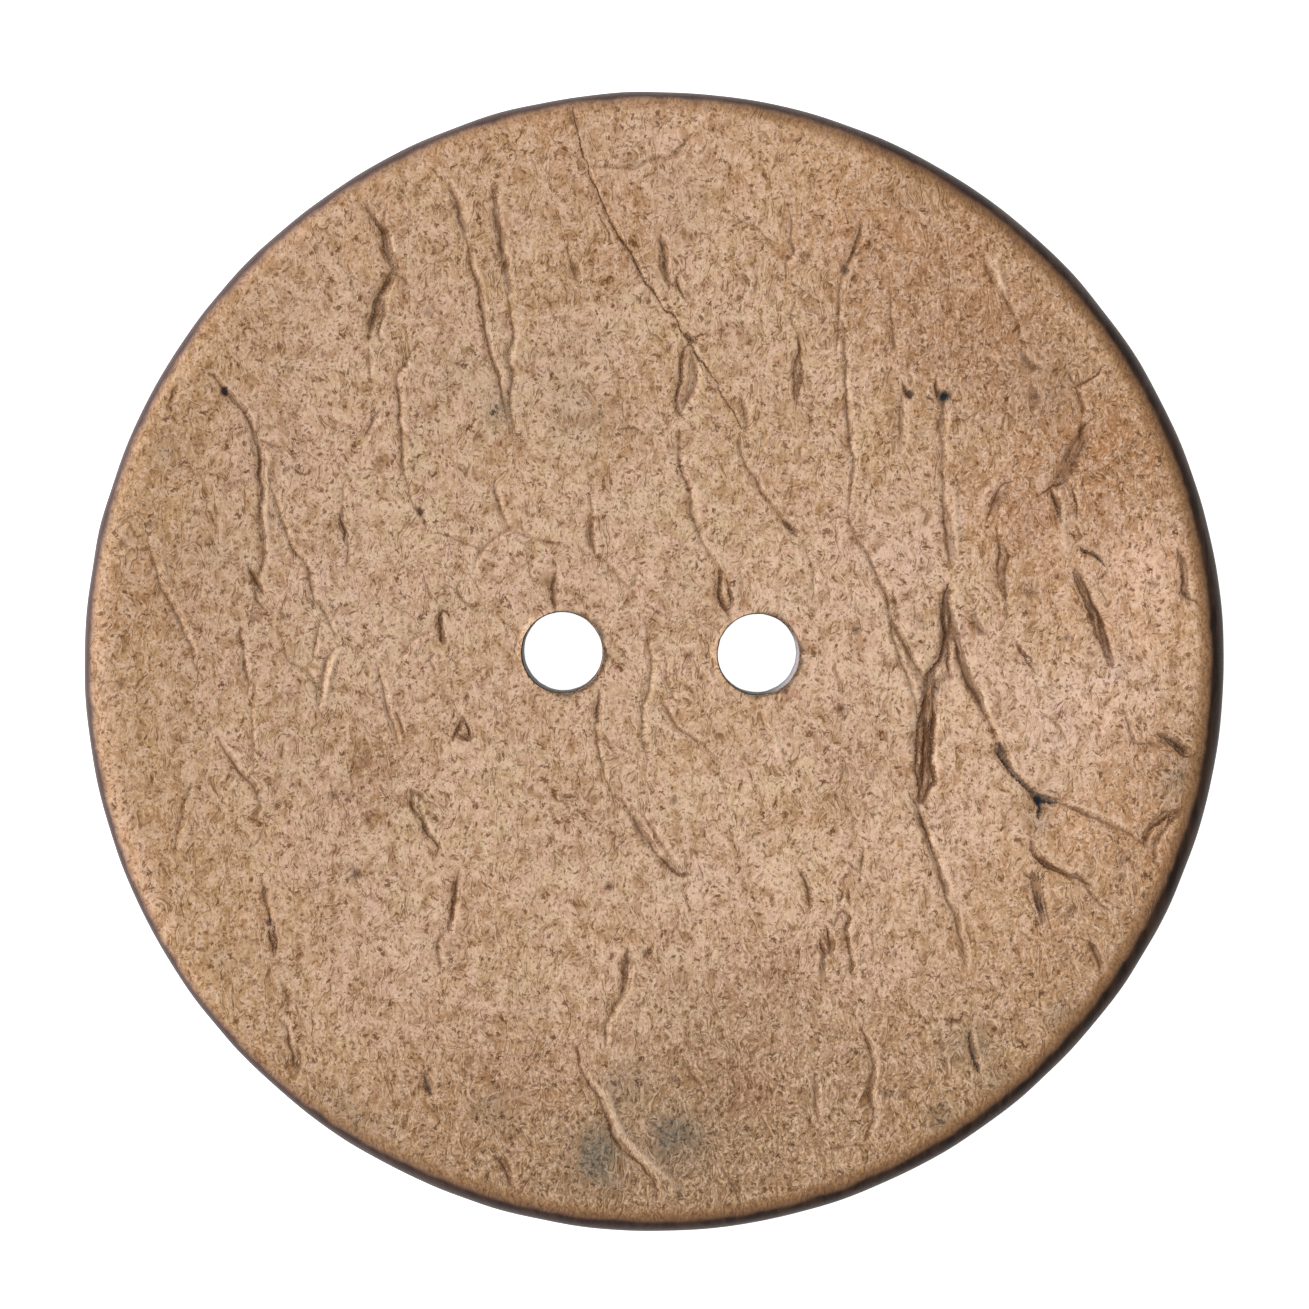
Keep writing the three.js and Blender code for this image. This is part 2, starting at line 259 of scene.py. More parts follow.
    (0.08, 0.8, 0.03, 0.1, [(-4.1, -6.0), (-3.5, -6.0)]),
    (0.05, 0.6, 0.03, 0.1, [(-4.6, -5.7), (-4.4, -6.2)]),
    # Lower left.
    (0.1, 0.8, 0.07, 0.1, [(-8.7, -9.4), (-9.15, -11.9)]),
    (0.06, 0.5, 0.04, 0.1, [(-9.3, -12.0), (-9.6, -12.5), (-9.55, -13.7)]),
    (0.05, 0.5, 0.03, 0.1, [(-17.4, -9.5), (-17.35, -9.9)]),
    (0.1, 0.75, 0.04, 0.2, [(-17.35, -9.9), (-17.2, -10.7)]),
    (0.05, 0.8, 0.04, 0.2, [(-17.2, -10.7), (-17.0, -11.7)]),
    (0.06, 0.9, 0.04, 0.1, [(-17.05, -11.8), (-16.95, -12.95)]),
    (0.06, 0.9, 0.04, 0.1, [(-16.85, -11.7), (-16.8, -12.4), (-16.9, -12.95)]),
    (0.08, 0.4, 0.04, 0.0, [(-16.5, -14.2), (-16.2, -14.9), (-16.2, -15.5)]),
    (0.06, 0.7, 0.05, 0.3, [(-16.6, -15.9), (-16.3, -16.3), (-16.1, -16.9), (-15.95, -18.3)]),
    (0.05, 0.6, 0.04, 0.2, [(-15.8, -17.0), (-15.75, -17.8), (-15.85, -18.3)]),
    (0.12, 0.95, 0.03, 0.8, [(-10.15, -18.4), (-9.95, -19.1)]),
    (0.05, 0.4, 0.05, 0.0, [(-10.9, -20.0), (-11.0, -20.6)]),
    # Bottom.
    (0.14, 0.75, 0.07, 0.1, [(-1.2, -12.9), (-1.25, -14.2), (-1.4, -14.8)]),
    (0.1, 0.65, 0.06, 0.1, [(-1.4, -14.8), (-1.95, -15.8)]),
    (0.06, 0.5, 0.05, 0.2, [(-1.95, -15.8), (-2.15, -16.3), (-2.2, -16.9)]),
    (0.08, 0.65, 0.09, 0.1, [(-3.4, -18.0), (-2.6, -19.0), (-2.3, -19.6), (-1.9, -20.8), (-1.6, -21.3),
        (-1.1, -21.9), (-0.1, -22.8), (0.1, -23.3), (0.05, -23.8)]),
    (0.07, 0.8, 0.03, 0.1, [(-3.45, -17.1), (-3.35, -17.8)]),
    (0.06, 0.7, 0.06, 0.1, [(-6.95, -21.8), (-6.45, -22.9), (-6.35, -23.4)]),
    (0.06, 0.5, 0.06, 0.0, [(-6.7, -21.8), (-6.15, -23.3)]),
    (0.05, 0.6, 0.04, 0.2, [(3.1, -22.4), (3.8, -23.8)]),
    (0.05, 0.6, 0.04, 0.2, [(3.5, -22.9), (3.8, -23.3), (4.0, -23.8)]),
    (0.06, 0.5, 0.04, 0.0, [(1.4, -17.7), (2.2, -19.2)]),
    (0.08, 0.5, 0.04, 0.1, [(7.15, -18.4), (7.2, -19.8), (7.35, -20.3)]),
    (0.08, 0.75, 0.04, 0.1, [(6.5, -9.3), (6.75, -9.8), (6.95, -10.8)]),
    # Lower right.
    (0.11, 0.85, 0.07, 0.3, [(16.8, -8.0), (16.9, -8.5), (17.4, -8.9), (19.3, -9.8)]),
    (0.06, 0.45, 0.05, 0.1, [(19.1, -9.9), (20.2, -11.1)]),
    (0.04, 0.8, 0.02, 0.3, [(16.6, -9.4), (16.9, -9.7)]),
    (0.04, 0.8, 0.02, 0.3, [(17.2, -9.2), (17.1, -9.7)]),
    (0.04, 0.8, 0.02, 0.3, [(17.4, -9.2), (17.3, -9.7)]),
    (0.05, 0.6, 0.04, 0.2, [(17.3, -10.0), (17.65, -11.9)]),
    (0.05, 0.6, 0.04, 0.1, [(9.3, -8.2), (9.2, -9.7)]),
    (0.05, 0.6, 0.03, 0.1, [(8.7, -8.9), (9.1, -9.4)]),
    (0.05, 0.75, 0.03, 0.1, [(8.3, -10.1), (8.5, -10.35), (8.35, -10.75), (8.2, -10.45)]),
    (0.05, 0.6, 0.03, 0.1, [(8.75, -10.2), (8.75, -10.8)]),
    (0.06, 0.75, 0.05, 0.1, [(8.05, -11.7), (8.2, -11.2), (8.5, -11.1), (8.7, -11.4), (8.6, -12.0),
        (8.8, -13.2), (8.75, -13.9)]),
    (0.09, 0.9, 0.05, 0.1, [(7.75, -11.85), (7.95, -12.6), (7.85, -12.95)]),
    (0.08, 0.9, 0.05, 0.1, [(7.45, -12.4), (7.55, -12.8), (7.7, -13.0)]),
    (0.09, 1.0, 0.04, 1.0, [(14.05, -16.4), (14.1, -17.0), (14.4, -18.1)]),
    (0.05, 0.7, 0.03, 0.2, [(13.15, -16.3), (13.2, -15.8), (13.5, -15.9), (13.8, -15.6), (14.1, -15.8)]),
    (0.08, 0.6, 0.06, 0.1, [(9.2, -16.1), (9.7, -17.5), (9.75, -18.0), (9.6, -19.1), (9.8, -20.0),
        (9.4, -21.1)]),
    (0.05, 0.7, 0.04, 0.1, [(9.4, -18.8), (9.6, -19.7)]),
    (0.11, 0.75, 0.04, 0.4, [(19.4, -12.4), (19.8, -13.6)]),
    (0.05, 0.4, 0.03, 0.1, [(18.3, -12.6), (18.8, -13.7)]),
    (0.04, 0.5, 0.02, 0.2, [(7.6, -21.5), (8.7, -21.4)]),
    (0.04, 0.5, 0.02, 0.2, [(9.0, -21.4), (9.4, -21.45)]),
    (0.05, 0.4, 0.04, 0.1, [(16.1, -12.6), (16.3, -13.1), (16.4, -13.8)]),
    (0.15, 1.0, 0.03, 1.0, [(16.65, -5.5), (17.1, -6.2)]),
    (0.12, 0.95, 0.05, 0.85, [(15.25, -3.7), (15.45, -4.2), (16.9, -5.9)]),
    (0.13, 1.0, 0.05, 0.6, [(22.4, -3.15), (24.2, -4.2)]),
    (0.1, 0.85, 0.05, 0.1, [(21.75, -8.1), (21.9, -7.4), (22.4, -6.9), (23.2, -6.5), (23.7, -6.4)]),
    (0.17, 1.0, 0.03, 1.0, [(16.95, -6.05), (17.85, -6.15)]),
    (0.14, 1.0, 0.03, 1.0, [(17.05, -6.0), (17.15, -6.4), (17.12, -6.85)]),
]

# Wide soft bands of fibre, in the same form as the lines.
BANDS = [
    (0.28, 0.35, 0.04, 0.0, [(1.5, 13.6), (1.6, 12.9), (1.5, 12.1), (1.2, 11.2)]),
    (0.36, 0.65, 0.07, 0.05, [(19.1, 10.4), (18.2, 8.5), (18.05, 8.0)]),
    (0.22, 0.85, 0.06, 0.15, [(18.7, 4.1), (19.4, 2.5), (20.3, 0.0)]),
    (0.2, 0.55, 0.03, 0.4, [(14.3, 2.2), (14.35, 1.8), (14.5, 1.5), (14.7, 1.35)]),
    (0.2, 0.5, 0.05, 0.1, [(15.6, 7.8), (15.15, 6.7)]),
    (0.22, 0.4, 0.04, 0.1, [(15.4, 5.4), (15.55, 3.0)]),
    (0.2, 0.45, 0.05, 0.1, [(13.0, 7.0), (13.1, 5.6), (13.3, 4.4)]),
    (0.4, 0.9, 0.12, 0.05, [(12.3, -0.6), (12.05, -5.0), (11.9, -6.1)]),
    (0.17, 0.5, 0.05, 0.1, [(11.6, -6.3), (13.0, -10.2)]),
    (0.22, 0.7, 0.05, 0.1, [(13.35, 1.7), (13.75, 0.1), (14.65, -2.1)]),
    (0.14, 0.5, 0.04, 0.1, [(23.3, 4.8), (23.5, 4.1), (23.55, 3.0)]),
    (0.22, 0.55, 0.05, 0.2, [(13.1, 3.2), (12.9, 0.2)]),
    (0.15, 0.75, 0.04, 0.2, [(-13.85, 6.9), (-13.85, 6.2), (-13.65, 5.3)]),
    (0.2, 0.95, 0.05, 0.4, [(16.9, -9.4), (17.25, -11.4)]),
    (0.15, 0.7, 0.04, 0.1, [(7.6, -12.9), (7.5, -14.2)]),
    (0.16, 0.5, 0.04, 0.3, [(-3.7, 24.4), (-3.5, 23.7)]),
    (0.2, 0.3, 0.05, 0.0, [(10.9, 1.6), (11.9, -1.1)]),
]

# Raised fibres beside some veins, painted lighter as a painted highlight where they face the light: (half
# width, height, points).
RIDGES = [
    (0.12, 0.05, [(-17.15, 9.0), (-17.25, 6.0), (-17.15, 5.0)]),
    (0.12, 0.05, [(-14.2, 0.5), (-14.6, -1.2), (-14.6, -2.0)]),
    (0.12, 0.06, [(-2.2, -18.3), (-1.7, -20.2), (-1.3, -21.0), (-0.8, -21.6), (1.4, -23.6)]),
    (0.1, 0.05, [(5.0, -2.0), (5.1, -2.7), (5.4, -3.3), (5.9, -5.0)]),
    (0.1, 0.04, [(-21.8, 5.0), (-21.7, 4.2), (-21.5, 3.6)]),
    (0.1, 0.05, [(12.8, -9.6), (13.4, -11.2)]),
    (0.12, 0.05, [(13.35, 8.0), (13.5, 4.8)]),
    (0.12, 0.05, [(18.1, 7.3), (18.1, 6.4), (18.4, 4.6)]),
    (0.1, 0.04, [(-8.0, 4.4), (-8.2, 3.2)]),
    (0.1, 0.05, [(15.1, 17.9), (15.3, 17.0), (15.6, 16.2)]),
    (0.12, 0.05, [(-20.9, 13.4), (-21.0, 12.8), (-20.95, 12.2)]),
]

# Small dark spots: (x, y, radius, ink, tone).
SPOTS = [
    (17.08, -6.1, 0.2, 1.0, 1.0), (-19.0, 12.05, 0.17, 0.95, 0.7), (-18.1, 16.85, 0.1, 0.7, 0.3),
    (-10.4, 6.75, 0.16, 0.9, 0.1), (-18.9, 8.0, 0.1, 0.7, 0.1), (-20.2, 6.9, 0.12, 0.6, 0.1),
    (-22.25, 6.2, 0.13, 0.5, 0.4), (-23.5, 5.4, 0.14, 0.6, 0.1), (-10.4, 4.2, 0.12, 0.8, 0.1),
    (-17.9, 2.2, 0.12, 0.6, 0.1), (-16.5, 2.1, 0.12, 0.5, 0.1), (-14.2, -5.8, 0.17, 0.8, 0.1),
    (-13.65, -5.8, 0.12, 0.5, 0.0), (-23.6, -0.8, 0.14, 0.6, 0.1), (1.6, 0.35, 0.15, 0.7, 0.1),
    (8.3, -2.0, 0.2, 0.9, 0.1), (9.0, 1.5, 0.1, 0.7, 0.1), (-7.4, -5.4, 0.14, 0.75, 0.1),
    (0.95, -6.2, 0.16, 0.6, 0.1), (-13.3, -9.3, 0.18, 0.85, 0.2), (-2.05, -9.9, 0.14, 0.9, 0.2),
    (-0.4, -12.9, 0.17, 0.85, 0.1), (1.3, -17.0, 0.1, 1.0, 0.3), (-6.7, -11.7, 0.14, 0.7, 0.1),
    (-5.0, -11.9, 0.1, 0.8, 0.1), (-5.4, -11.45, 0.12, 0.6, 0.1), (-6.8, -15.6, 0.13, 0.8, 0.3),
    (-4.3, -8.7, 0.14, 0.6, 0.1), (-5.2, -7.85, 0.13, 0.6, 0.1), (10.5, 10.9, 0.12, 0.6, 0.0),
    (18.4, 1.2, 0.13, 0.6, 0.2), (22.1, 3.5, 0.08, 0.6, 0.4), (21.65, -0.1, 0.07, 0.7, 0.1),
    (22.3, -0.7, 0.09, 0.7, 0.2), (20.4, -5.6, 0.1, 0.7, 0.1), (18.1, -5.0, 0.12, 0.5, 0.1),
    (16.7, 3.2, 0.25, 0.4, 0.1), (24.1, -3.0, 0.2, 0.4, 0.5), (20.8, -8.7, 0.17, 0.5, 0.6),
    (20.7, -9.5, 0.17, 0.5, 0.6), (18.5, -11.0, 0.2, 0.5, 0.6), (10.4, -19.1, 0.12, 0.7, 0.1),
    (11.0, -19.2, 0.14, 0.7, 0.1), (9.7, -4.9, 0.14, 0.5, 0.1), (8.6, -4.8, 0.14, 0.5, 0.1),
    (16.8, 11.8, 0.25, 0.4, 0.5), (16.9, 10.5, 0.12, 0.5, 0.3), (13.8, 9.1, 0.2, 0.35, 0.5),
    (11.8, 1.9, 0.14, 0.45, 0.4), (12.2, 4.1, 0.12, 0.3, 0.5), (-19.7, -2.9, 0.12, 0.5, 0.1),
    (-8.5, -21.6, 0.13, 0.7, 0.3), (0.8, -18.6, 0.12, 0.6, 0.1), (3.0, -10.9, 0.08, 0.7, 0.1),
    (10.0, 15.8, 0.1, 0.5, 0.1), (-2.65, 20.2, 0.1, 0.6, 0.1), (-1.6, 20.5, 0.13, 0.5, 0.1),
    (-14.4, 18.9, 0.12, 0.6, 0.1), (-14.65, 16.7, 0.12, 0.6, 0.1), (-10.0, 15.6, 0.12, 0.5, 0.1),
    (-9.2, 12.7, 0.1, 0.6, 0.1), (21.7, -12.4, 0.1, 0.6, 0.4), (11.35, 11.95, 0.18, 0.85, 0.4),
    (12.85, 11.85, 0.25, 1.0, 1.0), (8.45, 17.4, 0.2, 0.7, 0.4), (21.75, -7.75, 0.12, 0.7, 0.2),
    (23.5, 3.1, 0.1, 0.8, 0.2), (-17.15, -11.5, 0.15, 0.7, 0.2), (-12.65, 14.45, 0.13, 0.7, 0.1),
    (-2.4, 10.95, 0.2, 0.4, 0.3),
]

# Broad soft patches: (x, y, radius, strength) for each kind.
GREY_PATCHES = [
    (-6.9, 11.5, 0.6, 0.6), (-3.2, 11.0, 1.4, 0.25), (-4.5, 12.8, 1.2, 0.15), (-3.0, 14.3, 1.0, 0.15),
    (-2.5, -22.2, 1.2, 0.95), (1.0, -21.2, 1.2, 0.95), (-1.3, -18.9, 0.9, 0.35),
    (-2.9, -21.2, 0.9, 0.4), (-7.0, -20.1, 1.0, 0.3), (13.1, -20.4, 0.8, 0.5),
    (13.9, -17.2, 0.9, 0.5), (16.9, -6.5, 0.9, 0.4), (12.5, -0.8, 0.7, 0.35), (17.5, 12.3, 1.6, 0.25),
    (23.3, -5.2, 0.9, 0.5), (20.5, -13.3, 0.8, 0.35), (18.3, -16.0, 0.9, 0.35),
    (15.5, -18.8, 0.8, 0.4), (-13.2, -20.4, 1.1, 0.35), (-19.0, -13.3, 0.8, 0.2),
    (-14.5, -19.2, 0.9, 0.3), (-20.5, 5.0, 1.0, 0.15), (-21.5, 9.5, 1.0, 0.25),
    (11.5, 21.0, 1.2, 0.2), (1.5, 20.8, 1.2, 0.15), (-8.6, 13.0, 1.2, 0.12),
]
RUSSET_PATCHES = [
    (5.3, -13.8, 1.5, 0.6), (4.0, -16.0, 3.5, 0.2), (3.5, -18.9, 1.5, 0.6), (-7.2, -18.4, 1.1, 0.45),
    (0.8, -11.8, 0.7, 0.4), (1.2, -14.5, 1.0, 0.4), (2.6, -15.2, 0.6, 0.5), (5.0, -19.3, 1.0, 0.3),
    (-13.0, -4.5, 1.5, 0.4), (-12.6, -6.2, 1.0, 0.45), (-3.0, -7.0, 1.5, 0.4), (8.5, -4.0, 2.0, 0.4),
    (9.0, -6.5, 1.5, 0.3), (2.0, 1.2, 1.2, 0.35), (1.0, 3.5, 1.0, 0.3), (16.6, 6.6, 0.8, 0.45),
    (17.0, 15.0, 1.2, 0.4), (14.0, 14.0, 2.6, 0.6), (17.5, 11.0, 2.4, 0.35), (12.5, 19.5, 2.6, 0.3),
    (19.5, 6.5, 2.0, 0.4), (15.0, 3.5, 1.6, 0.3), (3.4, 15.0, 0.8, 0.4), (6.5, 11.0, 1.5, 0.3),
    (-9.2, -13.0, 0.7, 0.4), (18.7, -10.4, 0.7, 0.5), (12.0, 16.5, 3.0, 0.25),
    (-12.0, -9.0, 0.8, 0.3), (16.0, 5.5, 1.0, 0.3), (2.9, 18.8, 2.0, 0.2), (21.0, 0.3, 0.5, 0.35),
    (-19.0, 16.0, 1.6, 0.2), (-22.8, 3.0, 1.8, 0.25),
]
# Pale pink patches, partly the skin's own paler tone and partly painted sheen where the slopes at the right
# face the light.
PALE_AND_SHEEN_PATCHES = [
    (10.5, 4.5, 2.4, 0.5), (16.0, -2.0, 3.2, 0.5), (21.8, 4.3, 2.2, 1.0), (13.0, -8.0, 2.6, 0.4),
    (2.5, -10.5, 3.0, 0.4), (20.5, -2.0, 2.6, 0.9), (-5.0, 3.0, 6.0, 0.2), (16.5, 8.0, 2.0, 0.3),
    (6.0, 1.0, 2.5, 0.4), (9.0, -1.5, 2.5, 0.35), (-15.5, 17.5, 4.0, 0.35), (0.0, 23.0, 3.0, 0.3),
    (-16.5, 11.0, 4.0, 0.25), (-15.0, 3.0, 4.0, 0.25), (-12.0, -13.0, 4.0, 0.2),
    (9.0, -13.0, 3.0, 0.3),
]

# Where the skin is orange brown.
RUST_PATCHES = [
    (14.0, 14.5, 5.5, 0.45), (19.0, 8.5, 3.0, 0.6), (22.5, -8.5, 1.5, 0.6), (9.0, 20.0, 4.0, 0.35),
    (22.0, 10.0, 3.0, 0.5), (17.5, 3.5, 2.0, 0.45), (15.0, 7.0, 2.0, 0.35), (20.5, -7.0, 3.0, 0.35),
    (13.0, -11.0, 3.0, 0.2), (-22.0, 10.0, 3.0, 0.3), (-23.0, 3.0, 2.5, 0.35),
    (-22.0, -8.0, 3.0, 0.3), (-2.0, 19.5, 2.5, 0.3), (5.0, 9.0, 3.0, 0.25), (-6.5, -18.5, 4.0, 0.3),
    (24.0, 4.5, 1.2, 0.6), (18.0, -13.0, 3.0, 0.3), (23.0, -4.0, 2.0, 0.5), (20.0, 1.0, 1.2, 0.4),
    (-4.0, 24.0, 1.5, 0.4),
]

# Where the face as a whole is darker.
DIM_PATCHES = [
    (0.0, -23.5, 7.2, 0.75), (9.0, -21.0, 7.0, 0.5), (17.5, -17.0, 5.5, 0.5),
    (-9.0, -22.0, 5.0, 0.45), (16.0, 15.0, 6.5, 0.25), (22.5, 9.5, 3.0, 0.4), (24.0, -4.5, 3.0, 0.6),
    (3.0, -18.0, 3.0, 0.15), (22.0, -11.0, 3.0, 0.4), (-17.0, -18.0, 3.0, 0.25),
]

# How wide the light skin is: the radius where the dark body shows, by angle in degrees. The dark band is
# wider at the right and bottom; that extra width is painted shade on the rim's round, turned away from the
# light.
SKIN_EDGE = [
    (0, 24.68), (30, 24.8), (60, 24.95), (80, 25.05), (100, 25.05), (120, 25.0), (140, 25.1),
    (180, 25.08), (215, 25.1), (230, 25.0), (245, 24.8), (275, 24.85), (300, 24.75),
    (330, 24.7), (360, 24.68),
]


# ---------------------------------------------------------------------------
# Small numeric helpers.

def value_noise(x, y, cell, seed):
    """Smooth noise from -1 to 1 on a repeating grid of random heights."""
    size = 64
    table = np.random.default_rng(seed).uniform(-1, 1, (size, size))
    u = x / cell
    v = y / cell
    i = np.floor(u).astype(int)
    j = np.floor(v).astype(int)
    fu = u - i
    fv = v - j
    fu = fu * fu * (3 - 2 * fu)
    fv = fv * fv * (3 - 2 * fv)
    near = table[i % size, j % size] * (1 - fu) + table[(i + 1) % size, j % size] * fu
    far = table[i % size, (j + 1) % size] * (1 - fu) + table[(i + 1) % size, (j + 1) % size] * fu
    return near * (1 - fv) + far * fv


def smoothstep(low, high, value):
    t = np.clip((value - low) / (high - low), 0, 1)
    return t * t * (3 - 2 * t)


def smooth_path(points, step=0.12):
    """A Catmull-Rom curve through the points, as short straight stretches."""
    knots = np.array(points, float)
    ends = np.vstack([2 * knots[0] - knots[1], knots, 2 * knots[-1] - knots[-2]])
    out = []
    for a, b, c, d in zip(ends[:-3], ends[1:-2], ends[2:-1], ends[3:]):
        count = max(1, int(round(np.linalg.norm(c - b) / step)))
        for t in np.arange(count) / count:
            out.append(
                0.5 * (2 * b + (c - a) * t + (2 * a - 5 * b + 4 * c - d) * t * t
                       + (3 * b - a - 3 * c + d) * t ** 3)
            )
    out.append(knots[-1])
    return np.array(out)


def along_path(x, y, path):
    """Signed and plain distance to the path, and the length along it.

    The sign is positive on the +X side of a path that runs down."""
    start = path[:-1]
    step = path[1:] - start
    length = np.linalg.norm(step, axis=1)
    reached = np.concatenate([[0], np.cumsum(length)])
    best = np.full(x.shape, 1e9)
    signed = np.zeros_like(best)
    place = np.zeros_like(best)
    for k in range(len(step)):
        dx = x - start[k, 0]
        dy = y - start[k, 1]
        t = np.clip((dx * step[k, 0] + dy * step[k, 1]) / max(length[k] ** 2, 1e-9), 0, 1)
        ox = dx - t * step[k, 0]
        oy = dy - t * step[k, 1]
        distance = np.hypot(ox, oy)
        side = np.where(step[k, 0] * dy - step[k, 1] * dx >= 0, 1.0, -1.0)
        closer = distance < best
        best = np.where(closer, distance, best)
        signed = np.where(closer, side * distance, signed)
        place = np.where(closer, reached[k] + t * length[k], place)
    return signed, best, place, reached[-1]


# ---------------------------------------------------------------------------
# The veins as fields over the front.

REACH = 0.9            # how far from a vein its fields are worked out
FAR = 9.0              # stands for no vein near by
GROOVE = 1.1           # how deep a vein's groove is, as a share of its listed depth
BANK = 0.4             # how high the bank beside it is, as a share of the same


def waver(x, y):
    """Fibres never run quite true, so the place they are looked up at wanders a little."""
    return (x + 0.07 * value_noise(x, y, 0.7, 141) + 0.035 * value_noise(x, y, 0.26, 142),
            y + 0.07 * value_noise(x, y, 0.7, 143) + 0.035 * value_noise(x, y, 0.26, 144))


class Veins:
    """Nearest-vein fields at a set of points: distances, width, ink, tone and relief."""

    def __init__(self, x, y, lines):
        count = len(x)
        x, y = waver(x, y)
        self.signed = np.full(count, FAR)
        self.plain = np.full(count, FAR)
        self.place = np.zeros(count)
        self.width = np.full(count, 0.05)
        self.ink = np.zeros(count)
        self.tone = np.zeros(count)
        self.relief = np.zeros(count)
        self.rank = np.full(count, FAR)
        for number, line in enumerate(lines):
            path = smooth_path(line[-1])
            low = path.min(axis=0) - REACH
            high = path.max(axis=0) + REACH
            near = (x > low[0]) & (x < high[0]) & (y > low[1]) & (y < high[1])
            picked = np.flatnonzero(near)
            if len(picked):
                self.add(number, line, picked, *along_path(x[picked], y[picked], path))

    def add(self, number, line, picked, signed, plain, place, length):
        """Adds one vein at the points near it."""
        width, ink, depth, tone, _ = line
        taper = np.sin(np.pi * np.clip(place / length, 0.04, 0.96)) ** 0.45
        half = width * (0.45 + 0.55 * taper)
        groove = -GROOVE * depth * np.exp(-(signed / (1.3 * half + 0.04)) ** 2) * taper
        off_bank = (signed - 3.0 * half - 0.08) / (1.6 * half + 0.08)
        bank = BANK * depth * np.exp(-off_bank ** 2) * taper
        past_end = np.maximum(plain - np.abs(signed), 0)
        change = (groove + bank) * smoothstep(REACH, 0.5, plain) * np.exp(-12 * past_end)
        old = self.relief[picked]
        self.relief[picked] = np.where(np.abs(change) > np.abs(old), change, old)
        wins = (plain - half < self.rank[picked]) & (plain < REACH)
        chosen = picked[wins]
        self.rank[chosen] = (plain - half)[wins]
        self.signed[chosen] = signed[wins]
        self.plain[chosen] = plain[wins]
        self.place[chosen] = place[wins] + 7.3 * number
        self.width[chosen] = half[wins]
        self.ink[chosen] = ink * (0.55 + 0.45 * taper[wins])
        self.tone[chosen] = tone


ALL_LINES = LINES + [(0.035, 1.0, 0.05, 0.55, CRACK)]


def vein_distance(x, y):
    """Plain distance to the nearest line or band, for the mesh density."""
    nearest = np.full(len(x), FAR)
    ridge_lines = [(w, 0, h, 0, points) for w, h, points in RIDGES]
    for width, _, _, _, points in ALL_LINES + BANDS + ridge_lines:
        path = smooth_path(points, 0.3)
        low = path.min(axis=0) - 1
        high = path.max(axis=0) + 1
        picked = np.flatnonzero((x > low[0]) & (x < high[0]) & (y > low[1]) & (y < high[1]))
        if len(picked):
            distance = along_path(x[picked], y[picked], path)[1] - max(0, width - 0.1)
            nearest[picked] = np.minimum(nearest[picked], distance)
    return nearest


def patch_sum(x, y, patches, seed):
    """Soft round patches with ragged edges, from 0 to 1."""
    total = np.zeros(len(x))
    wobble_x = x + 0.5 * value_noise(x, y, 0.9, seed)
    wobble_y = y + 0.5 * value_noise(x, y, 0.9, seed + 1)
    for px, py, radius, strength in patches:
        total += strength * np.exp(-((wobble_x - px) ** 2 + (wobble_y - py) ** 2) / radius ** 2)
    return np.clip(total, 0, 1)


# ---------------------------------------------------------------------------
# Heights of the two faces.

def sphere_height(radius, r):
    return SPHERE_CENTRE - np.sqrt(radius ** 2 - r ** 2)


def front_height(x, y):
    """The hollow front with its slow swells, without veins."""
    height = sphere_height(HOLLOW_RADIUS, np.hypot(x, y))
    height = height + 0.05 * value_noise(x, y, 5.5, 11)
    height = height + 0.03 * value_noise(x, y * 0.6, 2.2, 12)
    return height + 0.008 * value_noise(x, y * 0.5, 0.7, 13)


def back_height(x, y):
    height = np.maximum(sphere_height(OUTER_WALL_RADIUS, np.hypot(x, y)), 0)
    natural = smoothstep(BACK_FLAT_RADIUS - 0.2, BACK_FLAT_RADIUS + 2.5, np.hypot(x, y))
    return height + natural * 0.03 * (1 + value_noise(x, y * 0.35, 1.6, 21))


# ---------------------------------------------------------------------------
# The mesh.

COARSE = 0.34       # triangle size away from the veins
LEVELS = 2             # each level halves it near a vein
NEAR = (0.42, 0.24)                    # how near, for each level
RING = 480                             # points round the rim
HOLE_RING = 96
FRONT_EDGE = RIM_RADIUS - FRONT_SHOULDER
BACK_EDGE = RIM_RADIUS - BACK_SHOULDER
SKIN_BOTTOM = 3.4                      # how low on the rim the front's marks may reach


def lattice(spacing, radius):
    rows = int(radius / spacing) + 2
    i, j = np.meshgrid(np.arange(-2 * rows, 2 * rows + 1), np.arange(-2 * rows, 2 * rows + 1))
    x = (i + 0.5 * j) * spacing
    y = j * spacing * math.sqrt(3) / 2
    inside = np.hypot(x, y) < radius
    return i[inside], j[inside], x[inside], y[inside]


def clear_of_holes(x, y, gap):
    ok = np.ones(len(x), bool)
    for hx, hy in HOLES:
        ok &= np.hypot(x - hx, y - hy) > HOLE_RADIUS + HOLE_BREAK + gap
    return ok


def front_points():
    kept = []
    for level in range(LEVELS + 1):
        spacing = COARSE / 2 ** level
        i, j, x, y = lattice(spacing, FRONT_EDGE - 0.12)
        if level:
            new = (i % 2 != 0) | (j % 2 != 0)
            x = x[new]
            y = y[new]
            near = vein_distance(x, y) < NEAR[level - 1]
            x = x[near]
            y = y[near]
        ok = clear_of_holes(x, y, 0.1)
        kept.append(np.stack([x[ok], y[ok]], axis=1))
    return np.vstack(kept)


def back_points():
    _, _, x, y = lattice(0.6, BACK_EDGE - 0.25)
    ok = clear_of_holes(x, y, 0.25)
    return np.stack([x[ok], y[ok]], axis=1)


def circle(radius, count, cx=0.0, cy=0.0):
    angle = np.arange(count) / count * 2 * np.pi
    return np.stack([cx + radius * np.cos(angle), cy + radius * np.sin(angle)], axis=1)


